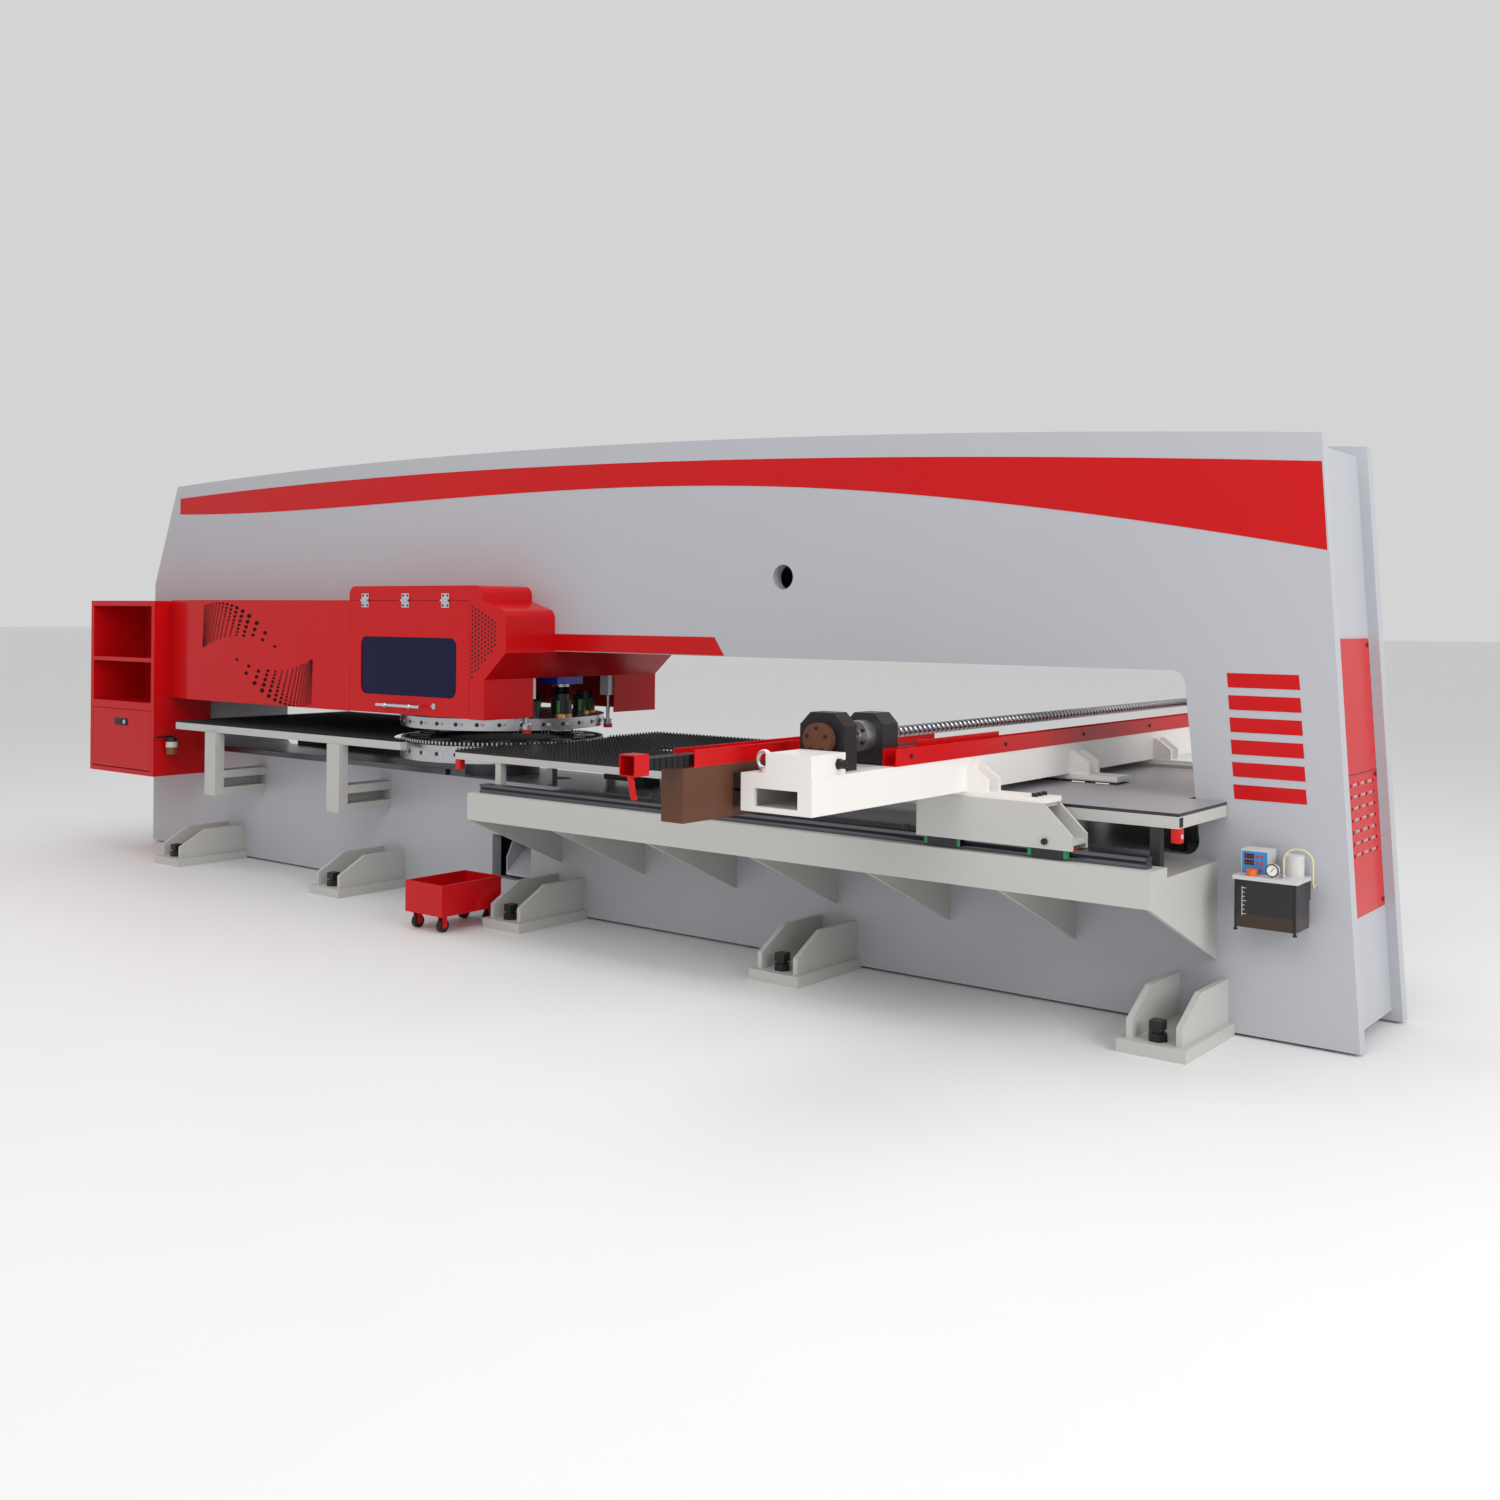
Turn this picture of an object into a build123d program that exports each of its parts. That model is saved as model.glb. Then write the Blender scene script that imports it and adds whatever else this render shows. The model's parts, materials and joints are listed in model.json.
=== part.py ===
from build123d import *
from math import atan2, cos, degrees, hypot, pi, sin
import os

# Turret punch press with a closed frame, in millimetres.
# +Z is up, +X runs along the frame from the cabinet end to the lubricator end,
# and Y = 0 is the middle plane between the two side plates.
# Names ending in _d are distances leftwards from the frame's right-hand foot.
# Heights are above the floor, and reaches are distances from the middle plane.

# Whole machine
frame_length = 7533.0
cabinet_overhang = 87.0
machine_length = frame_length + cabinet_overhang
machine_reach = 2300.0
right_end = machine_length / 2
panel_skin = 6.0
running_gap = 0.05
free_gap = 2.0

# Closed frame: two side plates with webs welded between them
frame_lift = 10.0
frame_reach = 300.0
plate_thickness = 60.0
right_height = 2150.0
right_lean = 148.0
crown_d = 3900.0
crown_height = 2322.0
left_height = 2281.0
left_shoulder = 251.0
left_shoulder_height = 1663.0
throat_floor = 630.0
throat_roof = 1306.0
throat_right_low_d = 566.0
throat_right_high_d = 636.0
left_column = 583.0
throat_left_d = frame_length - left_column
throat_corner = 55.0
web_recess = 38.0
web_thickness = 30.0
lifting_hole_d = 2475.0
lifting_hole_height = 1665.0
lifting_hole_radius = 55.0
slug_port_left_d = 4330.0
slug_port_right_d = 4045.0
slug_port_low = 130.0
slug_port_high = 352.0

# Feet and levelling bolts
foot_shares = (0.07434, 0.28767, 0.50046, 0.68021, 0.87827)
foot_ds = [frame_length * share for share in foot_shares]
foot_width = 250.0
foot_depth = 460.0
foot_thickness = 45.0
gusset_pitch = 180.0
gusset_thickness = 22.0
gusset_height = 200.0
gusset_flat = 265.0
gusset_nose_height = 110.0
gusset_nose_depth = 430.0
bolt_depth = 395.0
bolt_radius = 18.0
bolt_hole_gap = 1.0
nut_flat_radius = 30.0
nut_height = 28.0
collar_radius = 21.0
collar_height = 9.0
head_side = 46.0
head_height = 34.0

# Guide shelves along both side plates, and the rails on them
shelf_right_d = 503.0
shelf_left_d = 3845.0
shelf_reach = 906.0
tube_width = 140.0
tube_low = 530.0
tube_high = 655.0
tube_wall = 12.0
ledge_high = 620.0
ledge_thickness = 20.0
brace_count = 7
brace_thickness = 16.0
brace_low = 260.0
rail_width = 53.0
rail_waist = 38.0
rail_height = 40.0
rail_flank_share = 0.3
rail_margin = 35.0

# Saddles that run on the rails
saddle_left_d = 1410.0
saddle_right_d = 790.0
saddle_shoulder_d = 900.0
saddle_width = 128.0
saddle_low = 694.0
saddle_hip = 745.0
saddle_high = 850.0
saddle_skin = 15.0
block_length = 150.0
block_width = 96.0
block_low = 664.0
block_high = 712.0
block_inset = 25.0
rail_gap = 1.0
seal_length = 13.0

# Cross beam with its seats
beam_right_d = 1208.0
beam_left_d = 1487.0
beam_low = 868.0
beam_high = 990.0
beam_near = 1850.0
beam_far = 2000.0
beam_wall = 14.0
beam_slot_width = 170.0
beam_slot_height = 58.0
beam_slot_low = 886.0
seat_right_d = 870.0
seat_lug_d = 1125.0
seat_lug_high = 960.0
lug_thickness = 18.0
lug_pitch = 84.0
mid_seat_right_d = 1000.0
mid_seat_width = 120.0
mid_seat_low = 845.0

# Rails on the beam's clamp side, and the carriage on them
beam_rail_heights = (902.0, 962.0)
beam_rail_width = 23.0
beam_rail_depth = 22.0
beam_rail_margin = 10.0
slider_length = 110.0
slider_width = 48.0
slider_lift = 4.0
slider_depth = 39.0
slider_count = 3
carriage_near = 2080.0
carriage_length = 1500.0
carriage_thickness = 28.0
carriage_low = 845.0
carriage_high = 1016.0
carriage_lip = 42.0
carriage_lip_height = 10.0
carriage_flange = 62.0
duct_width = 88.0
duct_height = 54.0
duct_skin = 4.0
duct_near = 2035.0
bracket_length = 60.0
chain_near = machine_reach - bracket_length
chain_link = 24.0
chain_link_gap = 4.0
chain_width = 58.0
chain_height = 36.0
chain_count = 9
bracket_width = 64.0
bracket_height = 66.0
tap_length = 72.0
tap_width = 14.0
tap_lean = 18.0

# Work clamps on the carriage
clamp_reaches = (1780.0, 980.0)
clamp_width = 90.0
clamp_reach = 200.0
clamp_body_depth = 70.0
clamp_body_high = 960.0
jaw_low = 842.0
jaw_thickness = 11.0
jaw_gap = 7.0
jaw_nose = 9.0
jaw_root = 26.0
jaw_pin_radius = 8.0
jaw_pin_height = 885.0
jaw_pin_out = 52.0
jaw_side_gap = 3.0
jaw_cheek = 16.0

# Ball screw on the beam, its bearings, nut and motor
screw_d = 1340.0
screw_height = 1090.0
screw_radius = 20.0
journal_radius = 15.0
near_bearing_front = 1610.0
near_bearing_length = 75.0
bearing_half_width = 88.0
bearing_chamfer = 42.0
bearing_cap_radius = 55.0
bearing_cap_length = 32.0
nut_front = 1360.0
nut_length = 95.0
nut_half_width = 76.0
nut_chamfer = 36.0
nut_flange_radius = 52.0
nut_flange_length = 60.0
nut_arm_thickness = 20.0
far_drive_length = 470.0
far_bearing_front = machine_reach - far_drive_length
far_bearing_length = 70.0
motor_mount_length = 130.0
motor_half_width = 65.0
motor_chamfer = 18.0
motor_cap_length = 60.0

# Covers and small items on the beam
tray_near = 1366.0
tray_width = 54.0
tray_height = 58.0
tray_stand = 2.0
tray_stop_near = 1150.0
tray_stop_length = 590.0
tray_stop_height = 16.0
box_right_d = 1215.0
box_left_d = 1392.0
box_near = 1845.0
box_length = 190.0
box_height = 68.0
eye_d = 1438.0
eye_near = 1790.0
eye_ring_radius = 27.0
eye_bar_radius = 7.0
eye_collar_radius = 17.0
eye_collar_height = 12.0

# Feed screw that moves the beam along the throat
feed_height = 720.0
feed_radius = 20.0
feed_right_d = 720.0
feed_left_d = 3560.0
feed_block_length = 60.0
feed_block_half_width = 60.0
feed_block_high = 790.0
feed_nut_right_d = 1250.0
feed_nut_length = 150.0
feed_nut_half_width = 55.0
feed_nut_low = 672.0
feed_motor_length = 210.0
feed_motor_half_width = 62.0

# Sheet tables
table_high = 838.0
table_skin = 12.0
brush_depth = 20.0
table_frame_low = 785.0
frame_tube = 40.0
left_table_gap = 210.0
left_table_left_d = throat_left_d - left_table_gap
left_table_right_d = 4665.0
left_table_reach = 630.0
brush_left_d = 4110.0
brush_right_d = 1500.0
brush_reach = 750.0
rest_right_d = 470.0
rest_notch_d = 612.0
rest_notch_gap = 6.0
table_slot_half_width = 68.0
table_slot_left_d = 3470.0
table_slot_right_d = 1000.0
turret_clearance = 32.0
post_side = 36.0
side_post_ds = (3830.0, 1500.0, 574.0)
brush_post_ds = (4000.0, 1540.0)
rest_post_d = 692.0
bracket_left_inset = 442.0
bracket_right_inset = 483.0
bracket_ds = (left_table_left_d - bracket_left_inset, left_table_right_d + bracket_right_inset)
bracket_post_width = 107.0
bracket_post_depth = 58.0
bracket_low = 421.0
bracket_bar = 44.0
bracket_upper_bar = 520.0
bracket_cheek = 10.0
guide_bar_right_d = 4700.0
guide_bar_gap = 160.0
guide_bar_left_d = throat_left_d - guide_bar_gap
guide_bar_height = 30.0
guide_bar_width = 34.0

# Turrets, tools and dies
turret_d = 4580.0
turret_radius = 545.0
upper_low = 895.0
upper_high = 955.0
lower_low = 727.0
lower_high = 814.0
hub_radius = 150.0
hub_high = 1160.0
shaft_radius = 80.0
bearing_radius = 200.0
upper_bearing_low = 1180.0
lower_bearing_high = 690.0
tool_circle = 440.0
tool_count = 8
tool_radius = 55.0
tool_high = 1075.0
tool_neck_radius = 44.0
tool_head_high = 1045.0
small_tool_radius = 30.0
small_tool_high = 1040.0
ring_radius = 60.0
ring_height = 15.0
die_radius = 58.0
small_die_radius = 34.0
die_height = 20.0
die_hole_share = 0.45

# Ram above the punching place, and the hold-downs beside it
ram_radius = 45.0
ram_low = 1112.0
ram_high = 1290.0
ram_housing_low = 1128.0
ram_housing_half_width = 94.0
ram_housing_chamfer = 30.0
holder_d = 4085.0
holder_reach = 300.0
holder_side = 62.0
holder_low = 1060.0
holder_rod_radius = 10.0
holder_rod_top = 1230.0
holder_foot_radius = 22.0
holder_foot_low = 905.0
holder_foot_high = 932.0
pad_radius = 24.0
pad_low = 885.0

# Hoods over the turret, with the door in the front one
hood_left_d = 5095.0
hood_reach = 631.0
hood_low = 968.0
hood_high = 1630.0
hood_top_right_d = 4055.0
hood_step_high = 1553.0
hood_bulge_d = 3889.0
hood_bulge_high = 1505.0
hood_bulge_low = 1302.0
hood_face_d = 4040.0
hood_face_high = 1167.0
hood_round = 48.0
door_left_d = 5086.0
door_right_d = 4151.0
door_low = 970.0
door_high = 1554.0
door_thickness = 20.0
window_left_d = 4995.0
window_right_d = 4244.0
window_low = 1066.0
window_high = 1367.0
window_round = 45.0
pane_thickness = 6.0
pane_inset = 6.0
hinge_ds = (4957.0, 4633.0, 4326.0)
hinge_width = 58.0
hinge_leaf = 36.0
hinge_thickness = 5.0
knuckle_radius = 7.0
hinge_pin_radius = 3.5
hinge_knuckle_share = 0.34
hinge_side_gap = 0.5
handle_left_d = 4813.0
handle_right_d = 4482.0
handle_height = 1016.0
handle_radius = 9.0
handle_stand = 38.0
handle_post_radius = 11.0
handle_post_inset = 70.0
lock_d = 4398.0
lock_height = 1022.0
lock_radius = 15.0
lock_length = 12.0
lock_grip = 6.0
lock_shaft_radius = 6.0

# Side panels, middle cover and red trim
cabinet_width = 725.0
cabinet_right_d = machine_length - cabinet_width
panel_left_d = cabinet_right_d
panel_bend_width = 275.0
panel_bend_d = panel_left_d - panel_bend_width
panel_left_reach = 570.0
panel_high = 1556.0
vent_outer_ds = (6450.0, 6097.0, 5755.0)
vent_outer_heights = (1520.0, 1601.0, 1297.0)
vent_inner_ds = (6460.0, 6067.0, 5765.0)
vent_inner_heights = (1280.0, 1418.0, 1287.0)
vent_centre_d = 5936.0
vent_centre_height = 1256.0
vent_columns = 10
vent_rows = 4
vent_small_share = 0.2
vent_large_share = 0.36
vent_least_radius = 4.0
cover_skin = 5.0
trim_thickness = 1.0
strip_thickness = 4.0
strip_right_d = 2805.0
strip_slant = 57.0
strip_low = 1310.0
strip_high = 1393.0
band_left_margin = 283.0
band_left_d = frame_length - band_left_margin
band_left_high = 2204.0
band_left_low = 2104.0
band_mid_d = 3600.0
band_mid_high = 2226.0
band_turn_d = 4187.0
band_turn_low = 2108.0
band_fall_ds = (2386.0, 1402.0)
band_fall_lows = (2058.0, 1951.0)
band_right_high = 2049.0
band_right_low = 1739.0
band_edge = 6.0
stripe_count = 6
stripe_left_d = 476.0
stripe_width = 257.0
stripe_height = 52.0
stripe_pitch = 80.0
stripe_slant = 12.0
stripe_top = 1302.0

# Louvred cover on the right-hand end
end_cover_low = 440.0
end_cover_high = 1430.0
end_cover_width = 440.0
louvre_rows = 7
louvre_columns = 4
louvre_length = 72.0
louvre_height = 12.0
louvre_column_pitch = 92.0
louvre_row_pitch = 41.5
louvre_middle = 781.0

# Cabinet at the left-hand end
cabinet_reach = 683.0
cabinet_low = 490.0
cabinet_high = 1550.0
cabinet_wall = 32.0
cabinet_shelf_high = 1202.0
cabinet_shelf_low = 1178.0
cabinet_floor_high = 931.0
flap_high = 882.0
flap_low = 520.0
flap_thickness = 18.0
flap_gap = 3.0
flap_skin = 4.0
flap_pin_radius = 6.0
flap_pin_length = 22.0
latch_width = 120.0
latch_height = 46.0
latch_depth = 6.0
latch_centre = 806.0

# Air filter on the cabinet's side
filter_reach = 590.0
filter_radius = 34.0
filter_low = 625.0
filter_bowl_high = 700.0
filter_head_high = 725.0
filter_out = 46.0
filter_arm = 14.0
lever_length = 110.0
lever_thickness = 10.0
lever_width = 16.0
lever_pin_radius = 6.0

# Lubricator on the right-hand column
lube_left_d = 385.0
lube_right_d = 172.0
lube_low = 425.0
lube_tank_high = 590.0
lube_lid_high = 604.0
lube_lid_edge = 6.0
lube_back_gap = 14.0
lube_depth = 140.0
lube_control_width = 96.0
lube_control_depth = 80.0
lube_control_back = 46.0
lube_control_height = 86.0
lube_motor_radius = 34.0
lube_motor_height = 74.0
lube_cap_radius = 19.0
lube_cap_height = 22.0
lube_gauge_radius = 21.0
lube_gauge_thickness = 18.0
lube_hose_radius = 3.0
lube_hose_rise = 104.0
lube_hose_out = 100.0
lube_hose_drop = 133.0
lube_hose_back = 28.0
lube_hose_inset = 36.0
hose_gap = 8.0
hose_bend_share = 0.45

# Slug chute in the lower frame, and the cart in front of it
chute_width = 190.0
chute_skin = 6.0
chute_back = 110.0
chute_front = 290.0
chute_low = 150.0
chute_wall = 90.0
slug_hole_radius = 62.0
cart_right_d = 3908.0
cart_left_d = 4168.0
cart_near = 1000.0
cart_far = 630.0
cart_low = 78.0
cart_high = 225.0
cart_skin = 5.0
wheel_radius = 30.0
wheel_width = 22.0
wheel_inset = 42.0
axle_radius = 5.0
fork_thickness = 4.0
fork_gap = 2.0
fork_width = 26.0
fork_plate_height = 5.0


def at(distance):
    """X of a point this far left of the frame's right-hand foot."""
    return right_end - distance


def block(x0, x1, y0, y1, z0, z1):
    """Rectangular solid between two opposite corners."""
    centre = Pos((x0 + x1) / 2, (y0 + y1) / 2, (z0 + z1) / 2)
    return centre * Box(abs(x1 - x0), abs(y1 - y0), abs(z1 - z0))


def prism_xz(points, y0, y1):
    """Solid over a profile drawn in X and Z."""
    face = make_face(Polyline(*[(x, y0, z) for x, z in points], close=True))
    return extrude(face, amount=y1 - y0, dir=(0, 1, 0))


def prism_yz(points, x0, x1):
    """Solid over a profile drawn in Y and Z."""
    face = make_face(Polyline(*[(x0, y, z) for y, z in points], close=True))
    return extrude(face, amount=x1 - x0, dir=(1, 0, 0))


def prism_xy(points, z0, z1):
    """Solid over a profile drawn in X and Y."""
    face = make_face(Polyline(*[(x, y, z0) for x, y in points], close=True))
    return extrude(face, amount=z1 - z0, dir=(0, 0, 1))


def post(x, y, z0, z1, radius):
    """Upright round bar."""
    return Pos(x, y, (z0 + z1) / 2) * Cylinder(radius, z1 - z0)


def bar_x(x0, x1, y, z, radius):
    """Round bar along X."""
    return Pos((x0 + x1) / 2, y, z) * Rot(0, 90, 0) * Cylinder(radius, abs(x1 - x0))


def bar_y(x, y0, y1, z, radius):
    """Round bar along Y."""
    return Pos(x, (y0 + y1) / 2, z) * Rot(90, 0, 0) * Cylinder(radius, abs(y1 - y0))


def eight_sided(x, z, half, chamfer, y0, y1):
    """Square housing with cut corners, square to Y."""
    inner = half - chamfer
    points = [(x - inner, z - half), (x + inner, z - half), (x + half, z - inner), (x + half, z + inner)]
    points += [(x + inner, z + half), (x - inner, z + half), (x - half, z + inner), (x - half, z - inner)]
    return prism_xz(points, y0, y1)


def other_side(shape):
    """The same piece on the far side of the middle plane."""
    return mirror(shape, about=Plane.XZ)


def save(name, *pieces):
    """Write one node, which may hold several separate solids."""
    solids = [solid for piece in pieces for solid in piece.solids()]
    export_step(Compound(children=solids), f"parts/{name}.step")


def frame_outline():
    """Side plate outline: leaning right edge, crowned top and a cut left shoulder."""
    right_foot = Vector(at(0), 0, frame_lift)
    right_top = Vector(at(right_lean), 0, right_height)
    crown = Vector(at(crown_d), 0, crown_height)
    left_top = Vector(at(frame_length - left_shoulder), 0, left_height)
    shoulder = Vector(at(frame_length), 0, left_shoulder_height)
    left_foot = Vector(at(frame_length), 0, frame_lift)
    edges = [Line(right_foot, right_top), ThreePointArc(right_top, crown, left_top)]
    edges += [Line(left_top, shoulder), Line(shoulder, left_foot), Line(left_foot, right_foot)]
    return make_face(edges)


def throat_outline():
    """Opening through the frame, with rounded corners."""
    corners = [(at(throat_right_low_d), 0, throat_floor), (at(throat_right_high_d), 0, throat_roof)]
    corners += [(at(throat_left_d), 0, throat_roof), (at(throat_left_d), 0, throat_floor)]
    face = make_face(Polyline(*corners, close=True))
    return fillet(face.vertices(), throat_corner)


def slide_y(face, y0, y1):
    """Push a face drawn at Y = 0 into a slab between two values of Y."""
    return Pos(0, y0, 0) * extrude(face, amount=y1 - y0, dir=(0, 1, 0))


# Frame
plate_inner = frame_reach - plate_thickness
outline = frame_outline()
throat = throat_outline()
plate_face = outline - throat
front_plate = slide_y(plate_face, -frame_reach, -plate_inner)
back_plate = slide_y(plate_face, plate_inner, frame_reach)
web_outer = offset(outline, -web_recess)
web_inner = offset(outline, -web_recess - web_thickness)
outer_web = slide_y(web_outer - web_inner, -plate_inner, plate_inner)
throat_web = slide_y(offset(throat, web_thickness) - throat, -plate_inner, plate_inner)
punch_x = at(turret_d - tool_circle)
lifting_hole = bar_y(at(lifting_hole_d), -frame_reach, frame_reach, lifting_hole_height,
                     lifting_hole_radius)
slug_port = block(at(slug_port_left_d), at(slug_port_right_d), -frame_reach, -plate_inner, slug_port_low,
                  slug_port_high)
chute_top = throat_floor - web_thickness
slug_hole = post(punch_x, 0, chute_top, throat_floor, slug_hole_radius)
front_plate = front_plate - lifting_hole - slug_port
back_plate -= lifting_hole
throat_web -= slug_hole

# Slug chute welded under the throat floor, from below the die to the port in the front plate
chute_line = [(chute_back, chute_top), (chute_back, chute_top - chute_wall), (-chute_front, chute_low)]
chute_line += [(-chute_front, chute_low + chute_wall), (-chute_back, chute_top)]
chute = prism_yz(chute_line, punch_x - chute_width / 2, punch_x + chute_width / 2)
chute_hollow = [(chute_back - chute_skin, throat_floor), (chute_back - chute_skin,
                                                          chute_top - chute_wall + chute_skin)]
chute_hollow += [(-frame_reach, chute_low + chute_skin), (-frame_reach, throat_floor)]
chute -= prism_yz(chute_hollow, punch_x - chute_width / 2 + chute_skin,
                  punch_x + chute_width / 2 - chute_skin)
save("frame", front_plate, back_plate, outer_web, throat_web, chute)

# Feet, each a base plate with two gussets, and their levelling bolts
feet = []
levelling_bolts = []
for foot_d in foot_ds:
    x = at(foot_d)
    outer = -frame_reach - foot_depth
    foot = block(x - foot_width / 2, x + foot_width / 2, outer, -frame_reach, 0, foot_thickness)
    foot -= post(x, -frame_reach - bolt_depth, 0, foot_thickness, bolt_radius + bolt_hole_gap)
    gusset_line = [(-frame_reach, foot_thickness), (-frame_reach, gusset_height)]
    gusset_line += [(-frame_reach - gusset_flat, gusset_height)]
    gusset_line += [(-frame_reach - gusset_nose_depth, gusset_nose_height)]
    gusset_line += [(-frame_reach - gusset_nose_depth, foot_thickness)]
    for side in (-1, 1):
        gusset_x = x + side * gusset_pitch / 2
        foot += prism_yz(gusset_line, gusset_x - gusset_thickness / 2, gusset_x + gusset_thickness / 2)
    bolt_y = -frame_reach - bolt_depth
    nut_face = Pos(x, bolt_y, foot_thickness) * RegularPolygon(nut_flat_radius, 6, major_radius=False)
    bolt = extrude(nut_face, amount=nut_height)
    collar_low = foot_thickness + nut_height
    bolt += post(x, bolt_y, collar_low, collar_low + collar_height, collar_radius)
    head_low = collar_low + collar_height
    bolt += block(x - head_side / 2, x + head_side / 2, bolt_y - head_side / 2, bolt_y + head_side / 2,
                  head_low, head_low + head_height)
    bolt += post(x, bolt_y, 0, foot_thickness, bolt_radius)
    feet += [foot, other_side(foot)]
    levelling_bolts += [bolt, other_side(bolt)]
save("feet", *feet)
save("levelling_bolts", *levelling_bolts)

# Guide shelf: hollow front tube, ledge back to the plate, and sloping braces under it
tube_inner_reach = shelf_reach - tube_width
shelf_tube = block(at(shelf_left_d), at(shelf_right_d), -shelf_reach, -tube_inner_reach, tube_low,
                   tube_high)
shelf_tube -= block(at(shelf_left_d - brace_thickness), at(shelf_right_d + brace_thickness),
                    -shelf_reach + tube_wall, -tube_inner_reach - tube_wall,
                    tube_low + tube_wall, tube_high - tube_wall)
ledge = block(at(shelf_left_d), at(shelf_right_d), -tube_inner_reach, -frame_reach,
              ledge_high - ledge_thickness, ledge_high)
brace_line = [(-shelf_reach, tube_low), (-frame_reach, brace_low),
              (-frame_reach, ledge_high - ledge_thickness)]
brace_line += [(-tube_inner_reach, ledge_high - ledge_thickness), (-tube_inner_reach, tube_low)]
brace_pitch = (shelf_left_d - shelf_right_d - brace_thickness) / (brace_count - 1)
shelf = shelf_tube + ledge
for index in range(brace_count):
    brace_x = at(shelf_right_d + index * brace_pitch)
    shelf += prism_yz(brace_line, brace_x - brace_thickness, brace_x)
save("guide_shelves", shelf, other_side(shelf))

# Profile rail on each shelf tube
rail_reach = shelf_reach - tube_width / 2
rail_flank = rail_height * rail_flank_share
rail_line = [(-rail_width / 2, 0), (rail_width / 2, 0), (rail_width / 2, rail_flank),
             (rail_waist / 2, rail_height / 2)]
rail_line += [(rail_width / 2, rail_height - rail_flank), (rail_width / 2, rail_height)]
rail_line += [(-rail_width / 2, rail_height), (-rail_width / 2, rail_height - rail_flank)]
rail_line += [(-rail_waist / 2, rail_height / 2), (-rail_width / 2, rail_flank)]
rail = prism_yz([(y - rail_reach, z + tube_high) for y, z in rail_line],
                at(shelf_left_d - rail_margin), at(shelf_right_d + rail_margin))

# Saddle: two shaped cheeks, a top, a left end and a floor that the guide blocks bolt to
cheek_line = [(at(saddle_left_d), saddle_low), (at(saddle_right_d), saddle_low),
              (at(saddle_right_d), saddle_hip)]
cheek_line += [(at(saddle_shoulder_d), saddle_high), (at(saddle_left_d), saddle_high)]
saddle_outer = -rail_reach - saddle_width / 2
saddle_inner = -rail_reach + saddle_width / 2
saddle = prism_xz(cheek_line, saddle_outer, saddle_outer + saddle_skin)
saddle += prism_xz(cheek_line, saddle_inner - saddle_skin, saddle_inner)
saddle += block(at(saddle_left_d), at(saddle_shoulder_d), saddle_outer, saddle_inner,
                saddle_high - saddle_skin, saddle_high)
saddle += block(at(saddle_left_d), at(saddle_right_d), saddle_outer, saddle_inner, block_high,
                block_high + saddle_skin)
saddle += block(at(saddle_left_d), at(saddle_left_d - saddle_skin), saddle_outer, saddle_inner, block_high,
                saddle_high)

# Guide blocks that wrap the rails, with end seals
block_line = [(-block_width / 2, block_low), (-rail_width / 2 - rail_gap, block_low)]
block_line += [(-rail_width / 2 - rail_gap, tube_high + rail_height + rail_gap)]
block_line += [(rail_width / 2 + rail_gap, tube_high + rail_height + rail_gap)]
block_line += [(rail_width / 2 + rail_gap, block_low), (block_width / 2, block_low)]
block_line += [(block_width / 2, block_high), (-block_width / 2, block_high)]
block_line = [(y - rail_reach, z) for y, z in block_line]
guide_blocks = []
block_seals = []
for left_d in (saddle_left_d - block_inset, saddle_right_d + block_inset + block_length):
    guide_block = prism_yz(block_line, at(left_d - seal_length), at(left_d - block_length + seal_length))
    guide_blocks += [guide_block, other_side(guide_block)]
    for seal_d in (left_d, left_d - block_length + seal_length):
        seal = prism_yz(block_line, at(seal_d), at(seal_d - seal_length))
        block_seals += [seal, other_side(seal)]
save("guide_blocks", *guide_blocks, *block_seals)

# Cross beam: closed box with a hand slot in its near end
beam = block(at(beam_left_d), at(beam_right_d), -beam_near, beam_far, beam_low, beam_high)
beam -= block(at(beam_left_d - beam_wall), at(beam_right_d + beam_wall), -beam_near + beam_wall,
              beam_far - beam_wall,
              beam_low + beam_wall, beam_high - beam_wall)
beam_mid = at((beam_left_d + beam_right_d) / 2)
beam -= block(beam_mid - beam_slot_width / 2, beam_mid + beam_slot_width / 2, -beam_near,
              -beam_near + beam_wall,
              beam_slot_low, beam_slot_low + beam_slot_height)
save("cross_beam", beam)

# Seats between saddles and beam, each with two lugs against the beam's side
lug_line = [(at(beam_right_d), beam_low), (at(beam_right_d), seat_lug_high),
            (at(beam_right_d - lug_thickness), seat_lug_high)]
lug_line += [(at(seat_lug_d), seat_lug_high - (seat_lug_high - beam_low) / 2), (at(seat_lug_d), beam_low)]


def seat(right_d, low, y_centre, width):
    """Plate under the beam with two lugs standing against the beam's right-hand side."""
    plate = block(at(beam_left_d), at(right_d), y_centre - width / 2, y_centre + width / 2, low, beam_low)
    for side in (-1, 1):
        lug_y = y_centre + side * lug_pitch / 2
        plate += prism_xz(lug_line, lug_y - lug_thickness / 2, lug_y + lug_thickness / 2)
    return plate


front_seat = seat(seat_right_d + lug_thickness, saddle_high, -rail_reach, saddle_width - saddle_skin)
middle_seat = seat(mid_seat_right_d, mid_seat_low, 0, mid_seat_width)
save("saddles", saddle, other_side(saddle), front_seat, other_side(front_seat), middle_seat)

# Rails on the beam's clamp side
beam_rails = []
for height in beam_rail_heights:
    beam_rails.append(block(at(beam_left_d + beam_rail_depth), at(beam_left_d), -beam_near + beam_rail_margin,
                            beam_far - beam_rail_margin, height - beam_rail_width / 2,
                            height + beam_rail_width / 2))
save("beam_rails", *beam_rails)

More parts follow.
